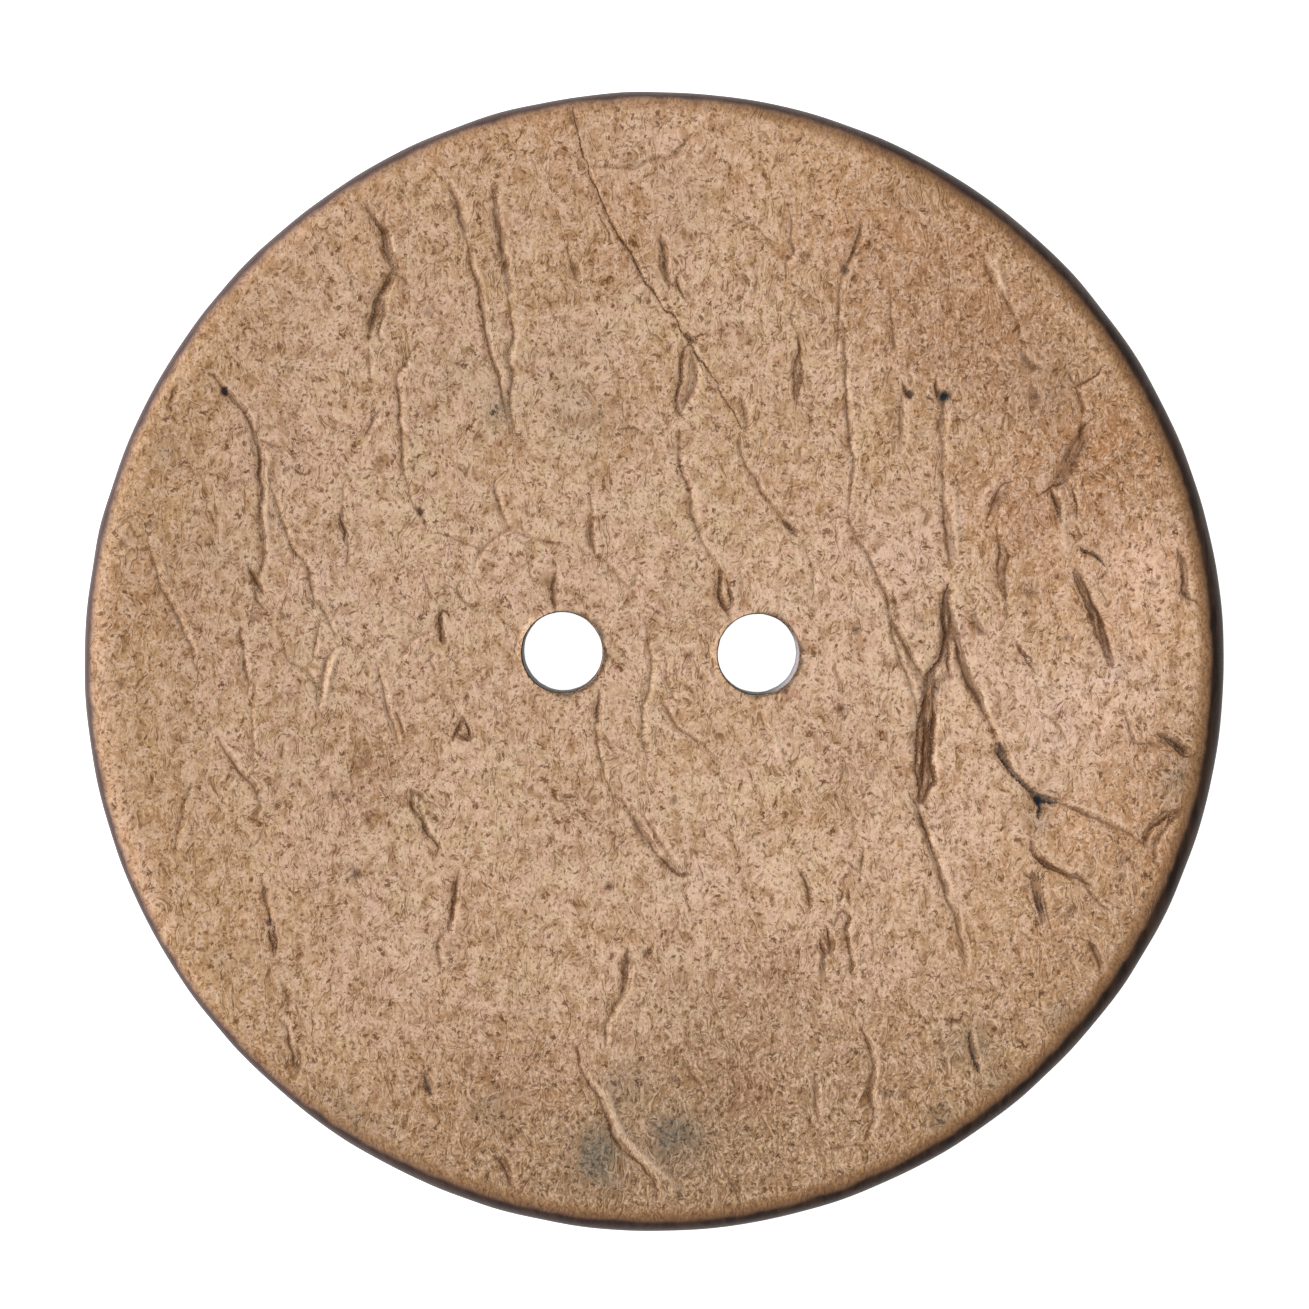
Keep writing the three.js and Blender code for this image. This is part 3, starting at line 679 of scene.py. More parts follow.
def triangulate(outer, holes, inner):
    """Triangles over a disc with holes. The rings come first in the point list."""
    rings = [outer] + holes
    points = np.vstack(rings + [inner])
    edges = []
    start = 0
    for ring in rings:
        count = len(ring)
        edges += [(start + k, start + (k + 1) % count) for k in range(count)]
        start += count
    result = delaunay_2d_cdt([Vector(p) for p in points.tolist()], edges, [], 0, 1e-7, False)
    if len(result[0]) != len(points):
        raise RuntimeError("the triangulation changed the points")
    faces = np.array(result[2])
    middle = points[faces].mean(axis=1)
    keep = np.hypot(middle[:, 0], middle[:, 1]) < np.hypot(outer[0][0], outer[0][1])
    for ring in holes:
        centre = ring.mean(axis=0)
        radius = np.linalg.norm(ring[0] - centre)
        keep &= np.linalg.norm(middle - centre, axis=1) > radius * 0.9995
    faces = faces[keep]
    a, b, c = (points[faces[:, k]] for k in range(3))
    turn = (b[:, 0] - a[:, 0]) * (c[:, 1] - a[:, 1]) - (b[:, 1] - a[:, 1]) * (c[:, 0] - a[:, 0])
    faces[turn < 0] = faces[turn < 0][:, ::-1]
    return points, faces


def rim_rows():
    """The section from the front face's edge round to the back's, as (radius, height)."""
    front_z = float(sphere_height(HOLLOW_RADIUS, FRONT_EDGE))
    back_z = float(sphere_height(OUTER_WALL_RADIUS, BACK_EDGE))
    rows = []
    # A soft shoulder, then a tighter round into the wall.
    shoulder = [(0.0, 0.0), (0.25, 0.035), (0.5, 0.055), (0.72, 0.05), (0.9, 0.02),
                (1.04, -0.04), (1.16, -0.13), (1.27, -0.26), (1.36, -0.42), (1.43, -0.62),
                (1.48, -0.9), (1.5, -1.25)]
    rows += [(FRONT_EDGE + dr, front_z + dz) for dr, dz in shoulder]
    wall_top = front_z - 1.25
    wall_bottom = back_z + 0.95
    for t in (0.33, 0.66):
        rows.append((RIM_RADIUS, wall_top + (wall_bottom - wall_top) * t))
    back_round = [(BACK_SHOULDER, 0.95), (0.985, 0.7), (0.94, 0.48), (0.85, 0.3), (0.7, 0.17),
                  (0.5, 0.085), (0.25, 0.03), (0.0, 0.0)]
    rows += [(BACK_EDGE + dr, back_z + dz) for dr, dz in back_round]
    return rows


def rim_wobble(radius, angle, height):
    """Hand turning leaves the rim a little uneven."""
    x = RIM_RADIUS * np.cos(angle)
    y = RIM_RADIUS * np.sin(angle)
    share = smoothstep(FRONT_EDGE, RIM_RADIUS, radius)
    return -share * 0.03 * (1 + value_noise(x + height * 0.7, y - height * 0.5, 1.9, 31))


def build_mesh():
    """Vertices in millimetres and faces of the whole button."""
    mouths = [circle(HOLE_RADIUS + HOLE_BREAK, HOLE_RING, *hole) for hole in HOLES]
    front, faces = triangulate(circle(FRONT_EDGE, RING), mouths, front_points())
    back, back_faces = triangulate(circle(BACK_EDGE, RING), mouths, back_points())
    verts = [np.column_stack([front, front_height(*front.T)]),
             np.column_stack([back, back_height(*back.T)])]
    front_count = len(front)
    triangles = [faces, back_faces[:, ::-1] + front_count]
    total = front_count + len(back)

    def strip(upper, lower):
        """Quads between two closed rings of vertex numbers, as triangles."""
        upper_next = np.roll(upper, -1)
        lower_next = np.roll(lower, -1)
        triangles.append(np.stack([upper, lower, lower_next], axis=1))
        triangles.append(np.stack([upper, lower_next, upper_next], axis=1))

    # The rim.
    angle = np.arange(RING) / RING * 2 * np.pi
    rows = rim_rows()
    upper = np.arange(RING)
    front_lift = verts[0][:RING, 2] - float(sphere_height(HOLLOW_RADIUS, FRONT_EDGE))
    back_lift = verts[1][:RING, 2] - float(sphere_height(OUTER_WALL_RADIUS, BACK_EDGE))
    for number, (radius, height) in enumerate(rows[1:-1], 1):
        share = number / (len(rows) - 1)
        r = radius + rim_wobble(radius, angle, height)
        lift = front_lift * max(0.0, 1 - 2 * share) + back_lift * max(0.0, 2 * share - 1)
        ring = np.stack([r * np.cos(angle), r * np.sin(angle), height + lift], axis=1)
        verts.append(ring)
        lower = np.arange(total, total + RING)
        total += RING
        strip(upper, lower)
        upper = lower
    strip(upper, np.arange(front_count, front_count + RING))

    # The hole walls, with a rounded edge at each face.
    edge = [(0.55, 0.012), (0.2, 0.03), (0.0, 0.07)]
    for k, (hx, hy) in enumerate(HOLES):
        top = np.arange(RING + k * HOLE_RING, RING + (k + 1) * HOLE_RING)
        bottom = top + front_count
        top_z = verts[0][top, 2]
        bottom_z = verts[1][top, 2]
        ring_angle = np.arange(HOLE_RING) / HOLE_RING * 2 * np.pi
        rings = [(share, top_z - drop) for share, drop in edge]
        rings += [(0.0, top_z + (bottom_z - top_z) * t) for t in (0.3, 0.5, 0.7)]
        rings += [(share, bottom_z + drop) for share, drop in reversed(edge)]
        upper = top
        for share, height in rings:
            ragged = 0.012 * value_noise(
                hx * 9 + 6 * np.cos(ring_angle), 6 * np.sin(ring_angle) + height, 0.8, 41 + k
            )
            r = HOLE_RADIUS + HOLE_BREAK * share + ragged
            verts.append(np.stack(
                [hx + r * np.cos(ring_angle), hy + r * np.sin(ring_angle), height], axis=1
            ))
            lower = np.arange(total, total + HOLE_RING)
            total += HOLE_RING
            strip(upper, lower)
            upper = lower
        strip(upper, bottom)

    return np.vstack(verts), np.vstack(triangles), front_count


def skin_edge_radius(x, y):
    angle = np.degrees(np.arctan2(y, x)) % 360
    table = np.array(SKIN_EDGE, float)
    return np.interp(angle, table[:, 0], table[:, 1])


def rim_shade_strength(x, y):
    """How strong the painted shade next to the rim is, by angle: most at the lower right, least at the
    left, where the rim faces the light.
    """
    angle = np.degrees(np.arctan2(y, x)) % 360
    return np.interp(angle, [0, 60, 90, 130, 210, 240, 280, 360],
                     [0.8, 0.9, 0.4, 0.2, 0.0, 0.5, 0.9, 0.8])


def left_highlight_and_band(x, y):
    """At the left the skin's edge gets a pale pink painted highlight, where the rounded edge faces the
    light, and is golden brown inside that.
    """
    r = np.hypot(x, y) + 0.12 * value_noise(x, y, 1.3, 101)
    left = smoothstep(9.0, 19.0, -x)
    low = left * smoothstep(-14.0, -9.0, y) * smoothstep(8.0, 0.0, y)
    edge_highlight = smoothstep(23.7, 24.4, r) * smoothstep(25.3, 25.0, r) * low * 0.7
    wide = left * smoothstep(-21.0, -14.0, y) * smoothstep(21.0, 14.0, y)
    golden = smoothstep(20.8, 22.8, r) * wide * (1 - edge_highlight)
    return edge_highlight, golden


def rim_light_shade(x, y):
    """How strong the painted light and shade at the rim's edge are, by angle, most on the left where the
    rim faces the light: the dark edge is painted lighter, violet brown, and the skin just inside it gets a
    soft painted shade.
    """
    angle = np.degrees(np.arctan2(y, x)) % 360
    return np.interp(angle, [0, 45, 90, 130, 180, 220, 250, 290, 360],
                     [0.0, 0.15, 0.6, 1.0, 1.0, 0.9, 0.5, 0.1, 0.0])


def bore_wall_highlight(x, y):
    """Painted highlight on the outer wall of the right hole, the side of the bore that faces the light."""
    hx, hy = HOLES[1]
    facing = np.cos(np.arctan2(y - hy, x - hx) + 0.35)
    in_bore = np.hypot(x - hx, y - hy) < HOLE_RADIUS + HOLE_BREAK * 0.9
    return smoothstep(0.45, 0.95, facing) * in_bore * 0.6


def store(mesh, name, values):
    layer = mesh.attributes.new(name, "FLOAT", "POINT")
    layer.data.foreach_set("value", np.asarray(values, np.float32))


def build_button():
    verts, faces, front_count = build_mesh()
    x, y, z = verts[:, 0], verts[:, 1], verts[:, 2]
    r = np.hypot(x, y)
    count = len(verts)
    # Points that belong to the front skin, which veins and spots may mark.
    upward = np.zeros(count)
    upward[:front_count] = 1.0
    rim_top = (z > SKIN_BOTTOM) & (r >= FRONT_EDGE - 1e-6)
    upward[rim_top] = 1.0

    lines = Veins(x, y, ALL_LINES)
    bands = Veins(x, y, BANDS)
    ridges = np.zeros(count)
    for width, height, points in RIDGES:
        path = smooth_path(points)
        _, away, place, length = along_path(x, y, path)
        taper = np.sin(np.pi * np.clip(place / length, 0.0, 1.0)) ** 0.6
        ridges = np.maximum(ridges, height * taper * np.exp(-(away / width) ** 2))
    spots = np.zeros(count)
    spot_tone = np.zeros(count)
    for sx, sy, radius, ink, tone in SPOTS:
        ragged = np.hypot(x - sx, (y - sy) * 0.8) + 0.05 * value_noise(x, y, 0.12, 51)
        mark = ink * smoothstep(radius * 1.25, radius * 0.6, ragged)
        spot_tone = np.where(mark > spots, tone, spot_tone)
        spots = np.maximum(spots, mark)

    hole_fade = np.ones(count)
    for hx, hy in HOLES:
        hole_fade *= smoothstep(HOLE_RADIUS + 0.1, HOLE_RADIUS + 0.5, np.hypot(x - hx, y - hy))
    rim_fade = smoothstep(RIM_RADIUS - 0.15, RIM_RADIUS - 0.7, r)
    relief = lines.relief + bands.relief * 0.8 + ridges - 0.03 * spots
    verts[:, 2] = z + relief * upward * hole_fade * rim_fade

    mesh = bpy.data.meshes.new("coconut_button")
    mesh.vertices.add(count)
    mesh.vertices.foreach_set("co", (verts * MM).astype(np.float32).ravel())
    mesh.loops.add(len(faces) * 3)
    mesh.loops.foreach_set("vertex_index", faces.astype(np.int32).ravel())
    mesh.polygons.add(len(faces))
    mesh.polygons.foreach_set("loop_start", np.arange(0, len(faces) * 3, 3, dtype=np.int32))
    mesh.update(calc_edges=True)
    mesh.polygons.foreach_set("use_smooth", np.ones(len(faces), bool))
    mesh.validate()

    for kind, veins in (("line", lines), ("band", bands)):
        store(mesh, kind + "_side", veins.signed)
        store(mesh, kind + "_away", veins.plain)
        store(mesh, kind + "_place", veins.place)
        store(mesh, kind + "_width", veins.width)
        store(mesh, kind + "_ink", veins.ink * upward)
        store(mesh, kind + "_tone", veins.tone)
    patches = (("grey", GREY_PATCHES, 61), ("russet", RUSSET_PATCHES, 71),
               ("pale", PALE_AND_SHEEN_PATCHES, 81), ("rust", RUST_PATCHES, 111), ("dim", DIM_PATCHES, 91))
    for name, places, seed in patches:
        store(mesh, name, patch_sum(x, y, places, seed) * upward)
    edge_highlight, golden = left_highlight_and_band(x, y)
    store(mesh, "edge_highlight", edge_highlight * upward)
    store(mesh, "golden", golden * upward)
    store(mesh, "light_shade", rim_light_shade(x, y) * upward)
    store(mesh, "rim_shade", rim_shade_strength(x, y) * upward)
    store(mesh, "ridge_highlight", np.clip(ridges / 0.05, 0, 1) * upward)
    store(mesh, "spot", spots * upward)
    store(mesh, "spot_tone", spot_tone)
    store(mesh, "wall_highlight", bore_wall_highlight(x, y))
    store(mesh, "skin", (skin_edge_radius(x, y) - r) * upward - 5.0 * (1 - upward))
    store(mesh, "from_middle", r / RIM_RADIUS)

    button = bpy.data.objects.new("coconut_button", mesh)
    bpy.context.scene.collection.objects.link(button)
    print("button triangles", len(faces))
    return button


# ---------------------------------------------------------------------------
# Material.

def bare(value):
    return value.socket if isinstance(value, Field) else value


class Field:
    """A number that varies over the surface: a node's output that takes arithmetic."""

    def __init__(self, graph, socket):
        self.graph = graph
        self.socket = socket

    def __add__(self, other):
        return self.graph.math("ADD", self, other)

    def __sub__(self, other):
        return self.graph.math("SUBTRACT", self, other)

    def __rsub__(self, other):
        return self.graph.math("SUBTRACT", other, self)

    def __mul__(self, other):
        return self.graph.math("MULTIPLY", self, other)

    def __truediv__(self, other):
        return self.graph.math("DIVIDE", self, other)

    def __abs__(self):
        return self.graph.math("ABSOLUTE", self)

    def ramp(self, low, high, to_low=0.0, to_high=1.0):
        """Maps low..high to to_low..to_high with soft ends."""
        node = self.graph.nodes.new("ShaderNodeMapRange")
        node.interpolation_type = "SMOOTHSTEP"
        for name, item in (("Value", self), ("From Min", low), ("From Max", high),
                           ("To Min", to_low), ("To Max", to_high)):
            self.graph.feed(node.inputs[name], item)
        return Field(self.graph, node.outputs[0])


class Graph:
    """Short calls for building a node tree."""

    def __init__(self, material):
        material.use_nodes = True
        self.tree = material.node_tree
        self.nodes = self.tree.nodes
        self.nodes.clear()

    def link(self, source, target):
        self.tree.links.new(source, target)

    def feed(self, socket, value):
        value = bare(value)
        if isinstance(value, bpy.types.NodeSocket):
            self.link(value, socket)
        elif isinstance(value, (tuple, list)) and len(value) == 3 and socket.type == "RGBA":
            socket.default_value = (*value, 1.0)
        else:
            socket.default_value = value

    def math(self, operation, *values):
        node = self.nodes.new("ShaderNodeMath")
        node.operation = operation
        for socket, value in zip(node.inputs, values):
            self.feed(socket, value)
        return Field(self, node.outputs[0])

    def vector(self, operation, a, b):
        node = self.nodes.new("ShaderNodeVectorMath")
        node.operation = operation
        self.feed(node.inputs[0], a)
        self.feed(node.inputs["Scale"] if operation == "SCALE" else node.inputs[1], b)
        return node.outputs[0]

    def scaled(self, vector, factors):
        return self.vector("MULTIPLY", vector, factors)

    def shifted(self, vector, other, amount=1.0):
        return self.vector("ADD", vector, self.vector("SCALE", other, amount))

    def mix(self, amount, a, b):
        node = self.nodes.new("ShaderNodeMix")
        node.data_type = "RGBA"
        self.feed(node.inputs[0], amount)
        self.feed(node.inputs[6], a)
        self.feed(node.inputs[7], b)
        return node.outputs[2]

    def noise(self, vector, scale, detail, roughness, distortion=0.0, flat=True):
        """A noise as a number and as a colour; flat noise ignores the height."""
        node = self.nodes.new("ShaderNodeTexNoise")
        node.noise_dimensions = "2D" if flat else "3D"
        self.feed(node.inputs["Vector"], vector)
        node.inputs["Scale"].default_value = scale
        node.inputs["Detail"].default_value = detail
        node.inputs["Roughness"].default_value = roughness
        node.inputs["Distortion"].default_value = distortion
        return Field(self, node.outputs["Fac"]), node.outputs["Color"]

    def attribute(self, name):
        node = self.nodes.new("ShaderNodeAttribute")
        node.attribute_name = name
        return Field(self, node.outputs["Fac"])

    def split(self, vector):
        node = self.nodes.new("ShaderNodeSeparateXYZ")
        self.feed(node.inputs[0], vector)
        return [Field(self, socket) for socket in node.outputs]

    def join(self, x, y):
        node = self.nodes.new("ShaderNodeCombineXYZ")
        self.feed(node.inputs[0], x)
        self.feed(node.inputs[1], y)
        return node.outputs[0]


def dashes(g, place, cell, length, width, share, shift, flow, ragged):
    """Short curved dashes, at most one to a cell, each with its own size and turn."""
    moved = g.vector("ADD", g.vector("SCALE", place, 1.0 / cell), (shift, shift * 1.7, 0.0))
    cells = g.nodes.new("ShaderNodeTexVoronoi")
    cells.voronoi_dimensions = "2D"
    cells.feature = "F1"
    g.feed(cells.inputs["Vector"], moved)
    cells.inputs["Scale"].default_value = 1.0
    turn_chance, size_chance, ink_chance = g.split(cells.outputs["Color"])
    offset = g.split(g.vector("SUBTRACT", moved, cells.outputs["Position"]))
    turn = turn_chance * 2.6 + flow
    cosine = g.math("COSINE", turn)
    sine = g.math("SINE", turn)
    along = offset[0] * cosine + offset[1] * sine
    across = offset[1] * cosine - offset[0] * sine
    bend = size_chance * 1.2 - 0.6
    across = across + along * along * bend
    long_part = along / ((size_chance * 0.9 + 0.55) * (length / cell))
    thin_part = across / (width / cell)
    far = g.math("SQRT", long_part * long_part + thin_part * thin_part)
    mark = (far + ragged).ramp(1.2, 0.35)
    least = g.math("SUBTRACT", 1.0, share)
    strength = ink_chance.ramp(least, 1.0, 0.25, 1.0)
    return mark * strength * g.math("GREATER_THAN", ink_chance, least)


def stroke(g, kind, wobble, soft, spread=1.0):
    """How much of a line or band covers the point, from 0 to 1."""
    side = abs(g.attribute(kind + "_side") + wobble)
    away = g.attribute(kind + "_away") - 0.06
    gap = g.math("MAXIMUM", side, away) / g.attribute(kind + "_width")
    return gap.ramp((1.0 + soft) * spread, (1.0 - soft) * spread)


def coconut_material():
    material = bpy.data.materials.new("coconut_shell")
    g = Graph(material)
    coords = g.nodes.new("ShaderNodeTexCoord").outputs["Object"]
    place = g.vector("SCALE", coords, 1.0 / MM)
    flat = g.scaled(place, (1.0, 1.0, 0.0))

    grey = g.attribute("grey")
    russet = g.attribute("russet")
    pale = g.attribute("pale")
    dim = g.attribute("dim")
    edge = g.attribute("from_middle").ramp(0.6, 1.0)

    # The skin's ground colour: slow clouds of tan, olive and pink, then finer mottling.
    cloud = g.split(g.noise(flat, 0.24, 3.0, 0.6, 0.5)[1])
    mottle = g.split(g.noise(flat, 1.3, 4.0, 0.65, 0.7)[1])
    colour = g.mix(cloud[0].ramp(0.38, 0.64), (0.607, 0.437, 0.275), (0.602, 0.40, 0.272))
    colour = g.mix(mottle[1].ramp(0.46, 0.66, 0.0, 0.85), colour, (0.61, 0.375, 0.285))
    colour = g.mix(cloud[1].ramp(0.5, 0.64, 0.0, 0.55), colour, (0.47, 0.27, 0.135))
    colour = g.mix(mottle[2].ramp(0.51, 0.65, 0.0, 0.6), colour, (0.44, 0.27, 0.14))
    colour = g.mix(edge * 0.55, colour, (0.52, 0.30, 0.15))
    # Pale pink patches, partly the skin's own tone and partly painted sheen where the slopes at the right
    # face the light.
    rosy = g.mix(cloud[2].ramp(0.42, 0.58), (0.80, 0.52, 0.39), (0.72, 0.52, 0.45))
    colour = g.mix(pale * mottle[0].ramp(0.35, 0.62, 0.35, 1.0), colour, rosy)
    rust = g.attribute("rust") * mottle[1].ramp(0.6, 0.42, 0.25, 1.4)
    colour = g.mix(rust, colour, (0.45, 0.21, 0.09))
    colour = g.mix(g.attribute("golden") * 0.6, colour, (0.52, 0.315, 0.165))
    # Pale pink painted highlight on the left edge of the skin, where the rounded edge faces the light.
    colour = g.mix(g.attribute("edge_highlight") * 0.75, colour, (0.72, 0.46, 0.31))

    # Wool: fibres that run roughly with the nut, light on dark.
    warp = g.noise(flat, 0.8, 2.0, 0.5)[1]
    bent = g.shifted(flat, warp, 0.8)
    wool = g.noise(g.scaled(bent, (7.5, 2.8, 0.0)), 1.0, 3.0, 0.62)[0]
    down = g.noise(flat, 8.5, 2.0, 0.6, 0.4)[0]
    weave = wool * 0.55 + down * 0.45
    blotch = g.noise(g.scaled(bent, (1.9, 1.3, 0.0)), 1.0, 2.0, 0.5)[0]
    colour = g.mix(weave.ramp(0.465, 0.66, 0.0, 0.68), colour, (0.80, 0.58, 0.42))
    burn = weave.ramp(0.48, 0.34, 0.0, 0.4) + blotch.ramp(0.47, 0.31, 0.0, 0.42)
    burn = burn + mottle[0].ramp(0.45, 0.3, 0.0, 0.3)
    colour = g.mix(burn, colour, (0.30, 0.145, 0.056))
    glow = blotch.ramp(0.53, 0.66, 0.0, 0.5) * down.ramp(0.4, 0.6, 0.5, 1.0)
    colour = g.mix(glow, colour, (0.76, 0.545, 0.42))
    gloom = dim * weave.ramp(0.6, 0.42, 0.25, 0.85)
    colour = g.mix(gloom, colour, (0.225, 0.135, 0.068))

    # Stains under the specks.
    colour = g.mix(grey * down.ramp(0.38, 0.62, 0.25, 1.0), colour, (0.125, 0.125, 0.105))
    colour = g.mix(russet * wool.ramp(0.6, 0.4, 0.2, 0.8), colour, (0.30, 0.145, 0.085))

    # Specks. Their turn drifts slowly over the face, so that neighbours agree.
    speck_place = g.shifted(flat, warp, 0.6)
    flow = g.noise(flat, 0.35, 2.0, 0.5)[0] * 9.0
    rough = g.noise(speck_place, 11.0, 1.0, 0.5)[0]
    ragged = rough * 2.6 - 1.3
    crowd = dim * 0.45 + mottle[0].ramp(0.65, 0.35, -0.12, 0.2)
    share_small = russet * 0.25 + 0.55 + crowd
    share_middle = russet * 0.3 + 0.5 + crowd
    share_large = dim * 0.5 + 0.3
    small = dashes(g, speck_place, 0.22, 0.075, 0.05, share_small, 3.1, flow, ragged)
    middle = dashes(g, speck_place, 0.36, 0.125, 0.078, share_middle, 11.7, flow, ragged)
    large = dashes(g, speck_place, 0.75, 0.17, 0.11, share_large, 23.9, flow, ragged)
    pepper = g.noise(g.scaled(speck_place, (6.5, 5.0, 0.0)), 1.0, 3.0, 0.65)[0]
    curl = g.noise(g.vector("ADD", bent, (31.0, 7.0, 0.0)), 1.9, 1.0, 0.5)[0]
    hair = abs(curl - 0.5).ramp(0.022, 0.004) * pepper.ramp(0.5, 0.62, 0.0, 0.4)
    specks = large
    for marks in (small * 0.7, middle * 0.9, pepper.ramp(0.6, 0.71, 0.0, 0.8), hair):
        specks = g.math("MAXIMUM", specks, marks)
    speck_colour = g.mix(dim, (0.125, 0.046, 0.012), (0.065, 0.032, 0.014))
    speck_colour = g.mix(grey, speck_colour, (0.035, 0.036, 0.032))
    colour = g.mix(specks * 0.92, colour, speck_colour)

    # Faint folds of the skin between the veins, each with a painted highlight along one side.
    fold_place = g.shifted(g.scaled(flat, (0.75, 0.34, 0.0)), warp, 0.45)
    fold = g.noise(fold_place, 1.0, 3.0, 0.55, 0.5)[0]
    fold_gate = blotch.ramp(0.62, 0.4, 0.1, 0.8)
    fold_dark = abs(fold - 0.5).ramp(0.017, 0.003) * fold_gate
    fold_highlight = abs(fold - 0.525).ramp(0.018, 0.004) * fold_gate
    colour = g.mix(fold_highlight * 0.45, colour, (0.78, 0.57, 0.42))
    colour = g.mix(fold_dark * rough.ramp(0.3, 0.6, 0.35, 0.8), colour, (0.22, 0.105, 0.042))
    # Painted highlight on the raised fibres beside the veins, where they face the light.
    colour = g.mix(g.attribute("ridge_highlight") * 0.5, colour, (0.76, 0.56, 0.41))

    # Veins: a painted highlight on the bank on the side away from the light, where the bank faces it, then
    # a soft brown halo.
    wobble = (down * 0.14 - 0.07) + (rough * 0.1 - 0.05)
    line_side = g.attribute("line_side")
    line_place = g.attribute("line_place")
    line_width = g.attribute("line_width")
    line_ink = g.attribute("line_ink")
    bank_highlight_gap = line_side - (line_width * 1.7 + 0.09)
    bank_highlight = abs(bank_highlight_gap + wobble).ramp(0.1, 0.02)
    bank_highlight = bank_highlight * g.attribute("line_away").ramp(0.6, 0.35)
    bank_highlight = bank_highlight * line_width.ramp(0.035, 0.08, 0.0, 0.4)
    colour = g.mix(bank_highlight, colour, (0.80, 0.585, 0.43))
    halo = stroke(g, "line", wobble, 0.5, 2.4) * (line_ink * 0.4)
    colour = g.mix(halo, colour, (0.31, 0.15, 0.06))

    # Wide bands, with streaks that run along them.
    streak_place = g.join((g.attribute("band_side") + wobble) * 9.0, g.attribute("band_place"))
    streak = g.noise(streak_place, 1.0, 2.0, 0.6)[0]
    band = stroke(g, "band", wobble, 0.35) * g.attribute("band_ink")
    band_colour = g.mix(
        g.attribute("band_tone"), (0.085, 0.035, 0.016), (0.025, 0.025, 0.028)
    )
    band_colour = g.mix(streak.ramp(0.42, 0.68), band_colour, (0.33, 0.18, 0.10))
    colour = g.mix(band * 1.1, colour, band_colour)

    # Threads beside a vein, then the vein itself, broken up along its length.
    thread_place = g.join((line_side + wobble) * 8.0, line_place * 1.1)
    thread = g.noise(thread_place, 1.0, 2.0, 0.6)[0]
    beside = stroke(g, "line", wobble, 0.6, 3.0) * line_ink.ramp(0.3, 0.8)
    colour = g.mix(beside * thread.ramp(0.5, 0.34, 0.0, 0.75), colour, (0.15, 0.065, 0.025))
    colour = g.mix(beside * thread.ramp(0.54, 0.68, 0.0, 0.5), colour, (0.66, 0.45, 0.31))
    breaks = g.noise(g.join(line_place, 0.0), 1.3, 2.0, 0.5)[0]
    line = stroke(g, "line", wobble, 0.4) * g.math("MINIMUM", line_ink * 1.2, 1.0)
    line = line * breaks.ramp(0.3, 0.6, 0.7, 1.0)
    # Painted shade: the vein is darker on its -X side, the groove wall turned away from the light.
    line = line * (line_side / line_width).ramp(1.0, -0.7, 0.6, 1.0)
    line = line * rough.ramp(0.3, 0.55, 0.65, 1.0)
    line_colour = g.mix(
        g.attribute("line_tone"), (0.085, 0.029, 0.008), (0.006, 0.009, 0.013)
    )
    colour = g.mix(line, colour, line_colour)
    spot_colour = g.mix(
        g.attribute("spot_tone"), (0.06, 0.022, 0.012), (0.008, 0.012, 0.018)
    )
    colour = g.mix(g.attribute("spot"), colour, spot_colour)

    # The dark body: fine fibres along the nut with a few pale ones.
    grain = g.noise(g.scaled(place, (2.2, 0.28, 2.2)), 1.0, 4.0, 0.6, 0.8, flat=False)[0]
    body = g.mix(grain.ramp(0.35, 0.7), (0.020, 0.0115, 0.009), (0.062, 0.033, 0.021))
    pale_grain = g.noise(g.scaled(place, (4.0, 0.36, 4.0)), 1.0, 2.0, 0.5, 0.6, flat=False)[0]
    under = g.split(place)[2].ramp(2.6, 2.0)
    body = g.mix(pale_grain.ramp(0.63, 0.74, 0.0, 0.75) * under, body, (0.27, 0.16, 0.09))
    # Painted highlight on the right hole's outer wall, which faces the light.
    body = g.mix(g.attribute("wall_highlight"), body, (0.62, 0.58, 0.64))

    # The rim: the skin browns a little towards its edge all round, and the body starts beyond it. The
    # stronger browning and the darkening at the right and bottom are painted shade, where the rim is turned
    # away from the light.
    rim_noise = g.split(g.noise(place, 0.9, 3.0, 0.5, 0.3, flat=False)[1])[0]
    skin_edge = g.attribute("skin") + (rim_noise * 0.3 - 0.15)
    skin = skin_edge.ramp(-0.06, 0.16)
    rim_shade = g.attribute("rim_shade")
    browning_and_shade = skin_edge.ramp(0.75, 0.35) * (rim_shade * 0.8 + 0.1)
    brown = g.mix(weave.ramp(0.36, 0.62), (0.22, 0.115, 0.05), (0.52, 0.28, 0.125))
    colour = g.mix(browning_and_shade, colour, brown)
    # Painted shade right next to the edge, most at the lower right.
    rim_shaded = (1.0 - skin_edge.ramp(0.0, 1.3)) * rim_shade * skin_edge.ramp(1.0, -0.1)
    colour = g.mix(rim_shaded, colour, (0.13, 0.065, 0.035))
    light_shade = g.attribute("light_shade")
    # Painted shade on the skin just inside the edge and painted light on the dark body, both most on the
    # left, where the rim faces the light.
    colour = g.mix(light_shade * skin_edge.ramp(0.42, -0.02) * 0.85, colour, (0.15, 0.085, 0.07))
    body = g.mix(light_shade * 0.7, body, (0.075, 0.046, 0.046))
    colour = g.mix(skin, body, colour)

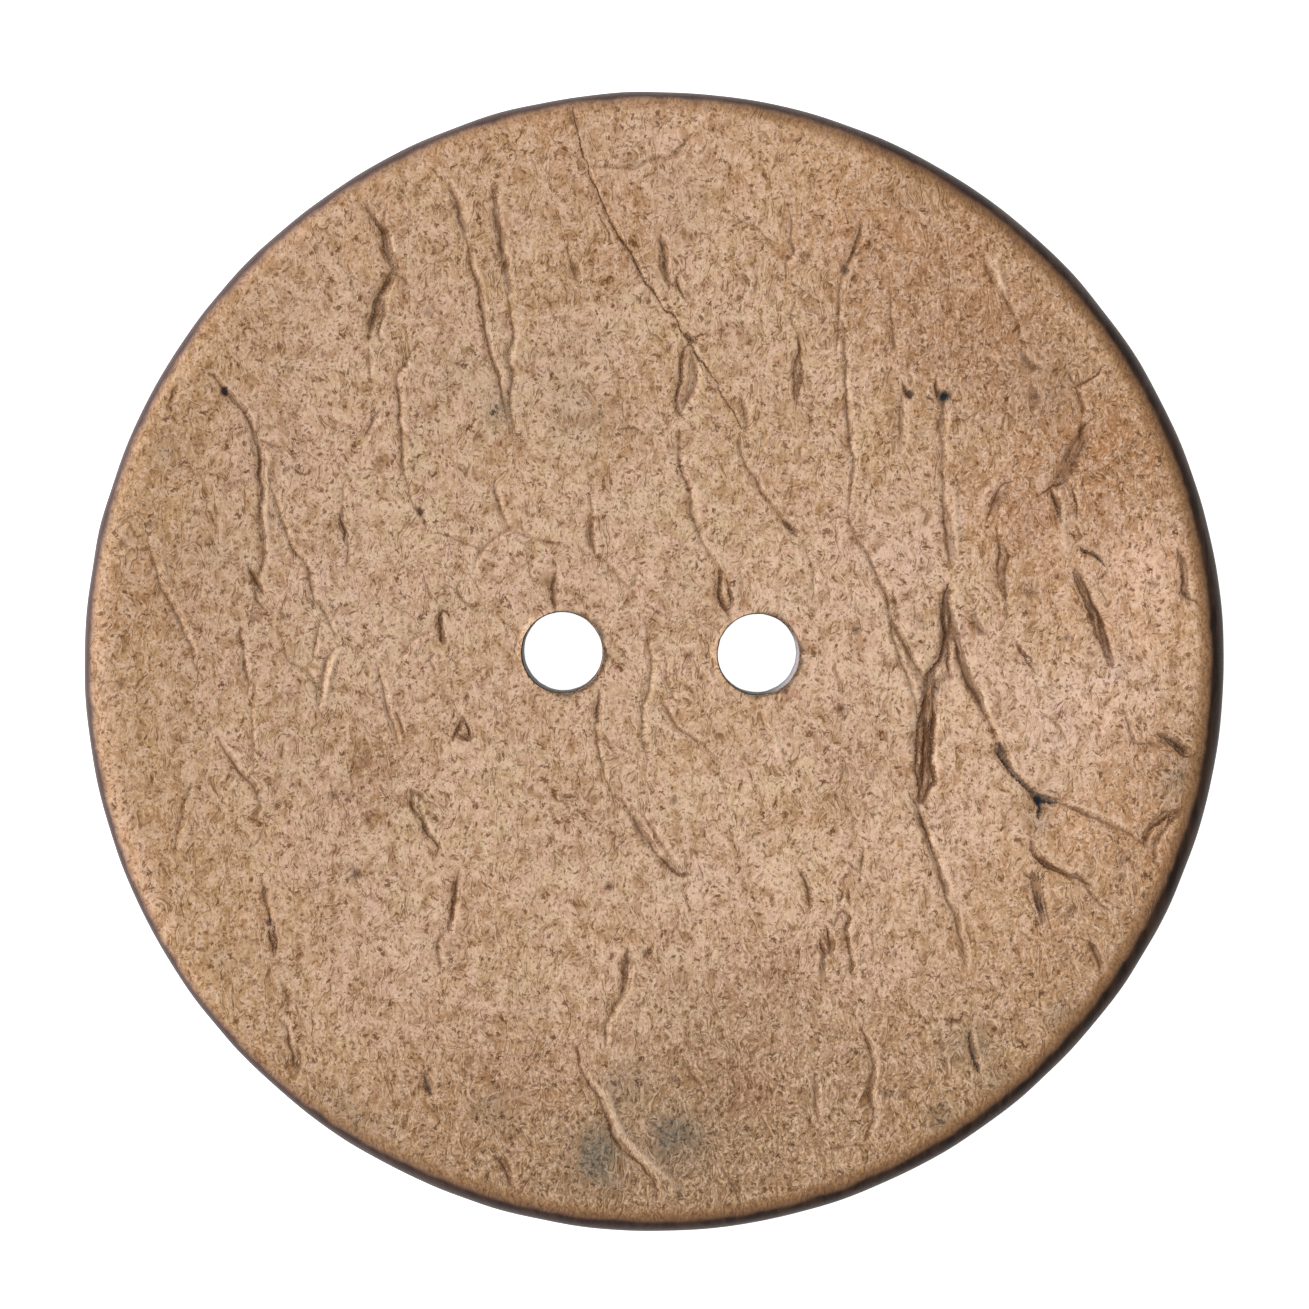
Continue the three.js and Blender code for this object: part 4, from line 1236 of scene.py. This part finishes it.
    # Gloss and fine relief.
    not_skin = 1.0 - skin
    gloss = mottle[0].ramp(0.3, 0.7, 0.44, 0.54) + specks * 0.1 + band * 0.15
    roughness = not_skin * 0.5 + gloss * skin
    height = wool * 0.32 + down * 0.18 - specks * 0.5 - line - fold_dark
    height = height * skin + (grain + pale_grain) * not_skin * 0.5
    bump = g.nodes.new("ShaderNodeBump")
    bump.inputs["Strength"].default_value = 0.8
    bump.inputs["Distance"].default_value = 0.03 * MM
    g.feed(bump.inputs["Height"], height)

    shader = g.nodes.new("ShaderNodeBsdfPrincipled")
    g.feed(shader.inputs["Base Color"], colour)
    g.feed(shader.inputs["Roughness"], roughness)
    g.feed(shader.inputs["Normal"], bump.outputs[0])
    shader.inputs["Specular IOR Level"].default_value = 0.12
    output = g.nodes.new("ShaderNodeOutputMaterial")
    g.link(shader.outputs[0], output.inputs[0])
    return material


# ---------------------------------------------------------------------------
# Stage, light and camera.

def build_floor():
    """A pale table, a hair below the button's flat."""
    mesh = bpy.data.meshes.new("floor")
    reach = 2.0
    mesh.from_pydata(
        [(-reach, -reach, 0), (reach, -reach, 0), (reach, reach, 0), (-reach, reach, 0)],
        [], [(0, 1, 2, 3)],
    )
    floor = bpy.data.objects.new("floor", mesh)
    floor.location.z = -0.02 * MM
    bpy.context.scene.collection.objects.link(floor)
    material = bpy.data.materials.new("white_table")
    g = Graph(material)
    shader = g.nodes.new("ShaderNodeBsdfPrincipled")
    shader.inputs["Base Color"].default_value = (0.85, 0.85, 0.86, 1)
    shader.inputs["Roughness"].default_value = 0.9
    shader.inputs["Specular IOR Level"].default_value = 0.0
    shader.inputs["Emission Color"].default_value = (1, 1, 1, 1)
    shader.inputs["Emission Strength"].default_value = 0.95
    output = g.nodes.new("ShaderNodeOutputMaterial")
    g.link(shader.outputs[0], output.inputs[0])
    mesh.materials.append(material)


def build_light():
    """One soft light from the left and a pale surround."""
    place = Vector((-0.40, 0.12, 0.26))
    data = bpy.data.lights.new("key_left", "AREA")
    data.shape = "RECTANGLE"
    data.size = 0.22
    data.size_y = 0.22
    data.energy = 2.6
    data.color = (1.0, 0.98, 0.94)
    light = bpy.data.objects.new("key_left", data)
    light.location = place
    aim = Vector((0, 0, 0.004)) - place
    light.rotation_euler = aim.to_track_quat("-Z", "Y").to_euler()
    bpy.context.scene.collection.objects.link(light)
    world = bpy.data.worlds.new("studio")
    world.use_nodes = True
    background = world.node_tree.nodes["Background"]
    background.inputs["Color"].default_value = (1.0, 0.985, 0.96, 1)
    background.inputs["Strength"].default_value = 0.5
    bpy.context.scene.world = world


# The camera's place and aim, and the focal length over a sensor 36 mm wide.
CAMERA_PLACE = (0.01, 5.4, 190.0)
CAMERA_AIM = (0.01, 0.39, 4.2)
CAMERA_LENS = 114.81


def build_camera():
    data = bpy.data.cameras.new("camera")
    data.lens = CAMERA_LENS
    data.sensor_width = 36.0
    data.clip_start = 0.001
    camera = bpy.data.objects.new("camera", data)
    camera.location = [value * MM for value in CAMERA_PLACE]
    tilt = math.atan2(CAMERA_PLACE[1] - CAMERA_AIM[1], CAMERA_PLACE[2] - CAMERA_AIM[2])
    camera.rotation_euler = (-tilt, 0, 0)
    bpy.context.scene.collection.objects.link(camera)
    bpy.context.scene.camera = camera


build_camera()
button = build_button()
button.data.materials.append(coconut_material())
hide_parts(NODE)
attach(button, "root")
build_floor()
build_light()
bpy.context.scene.view_settings.view_transform = "Standard"
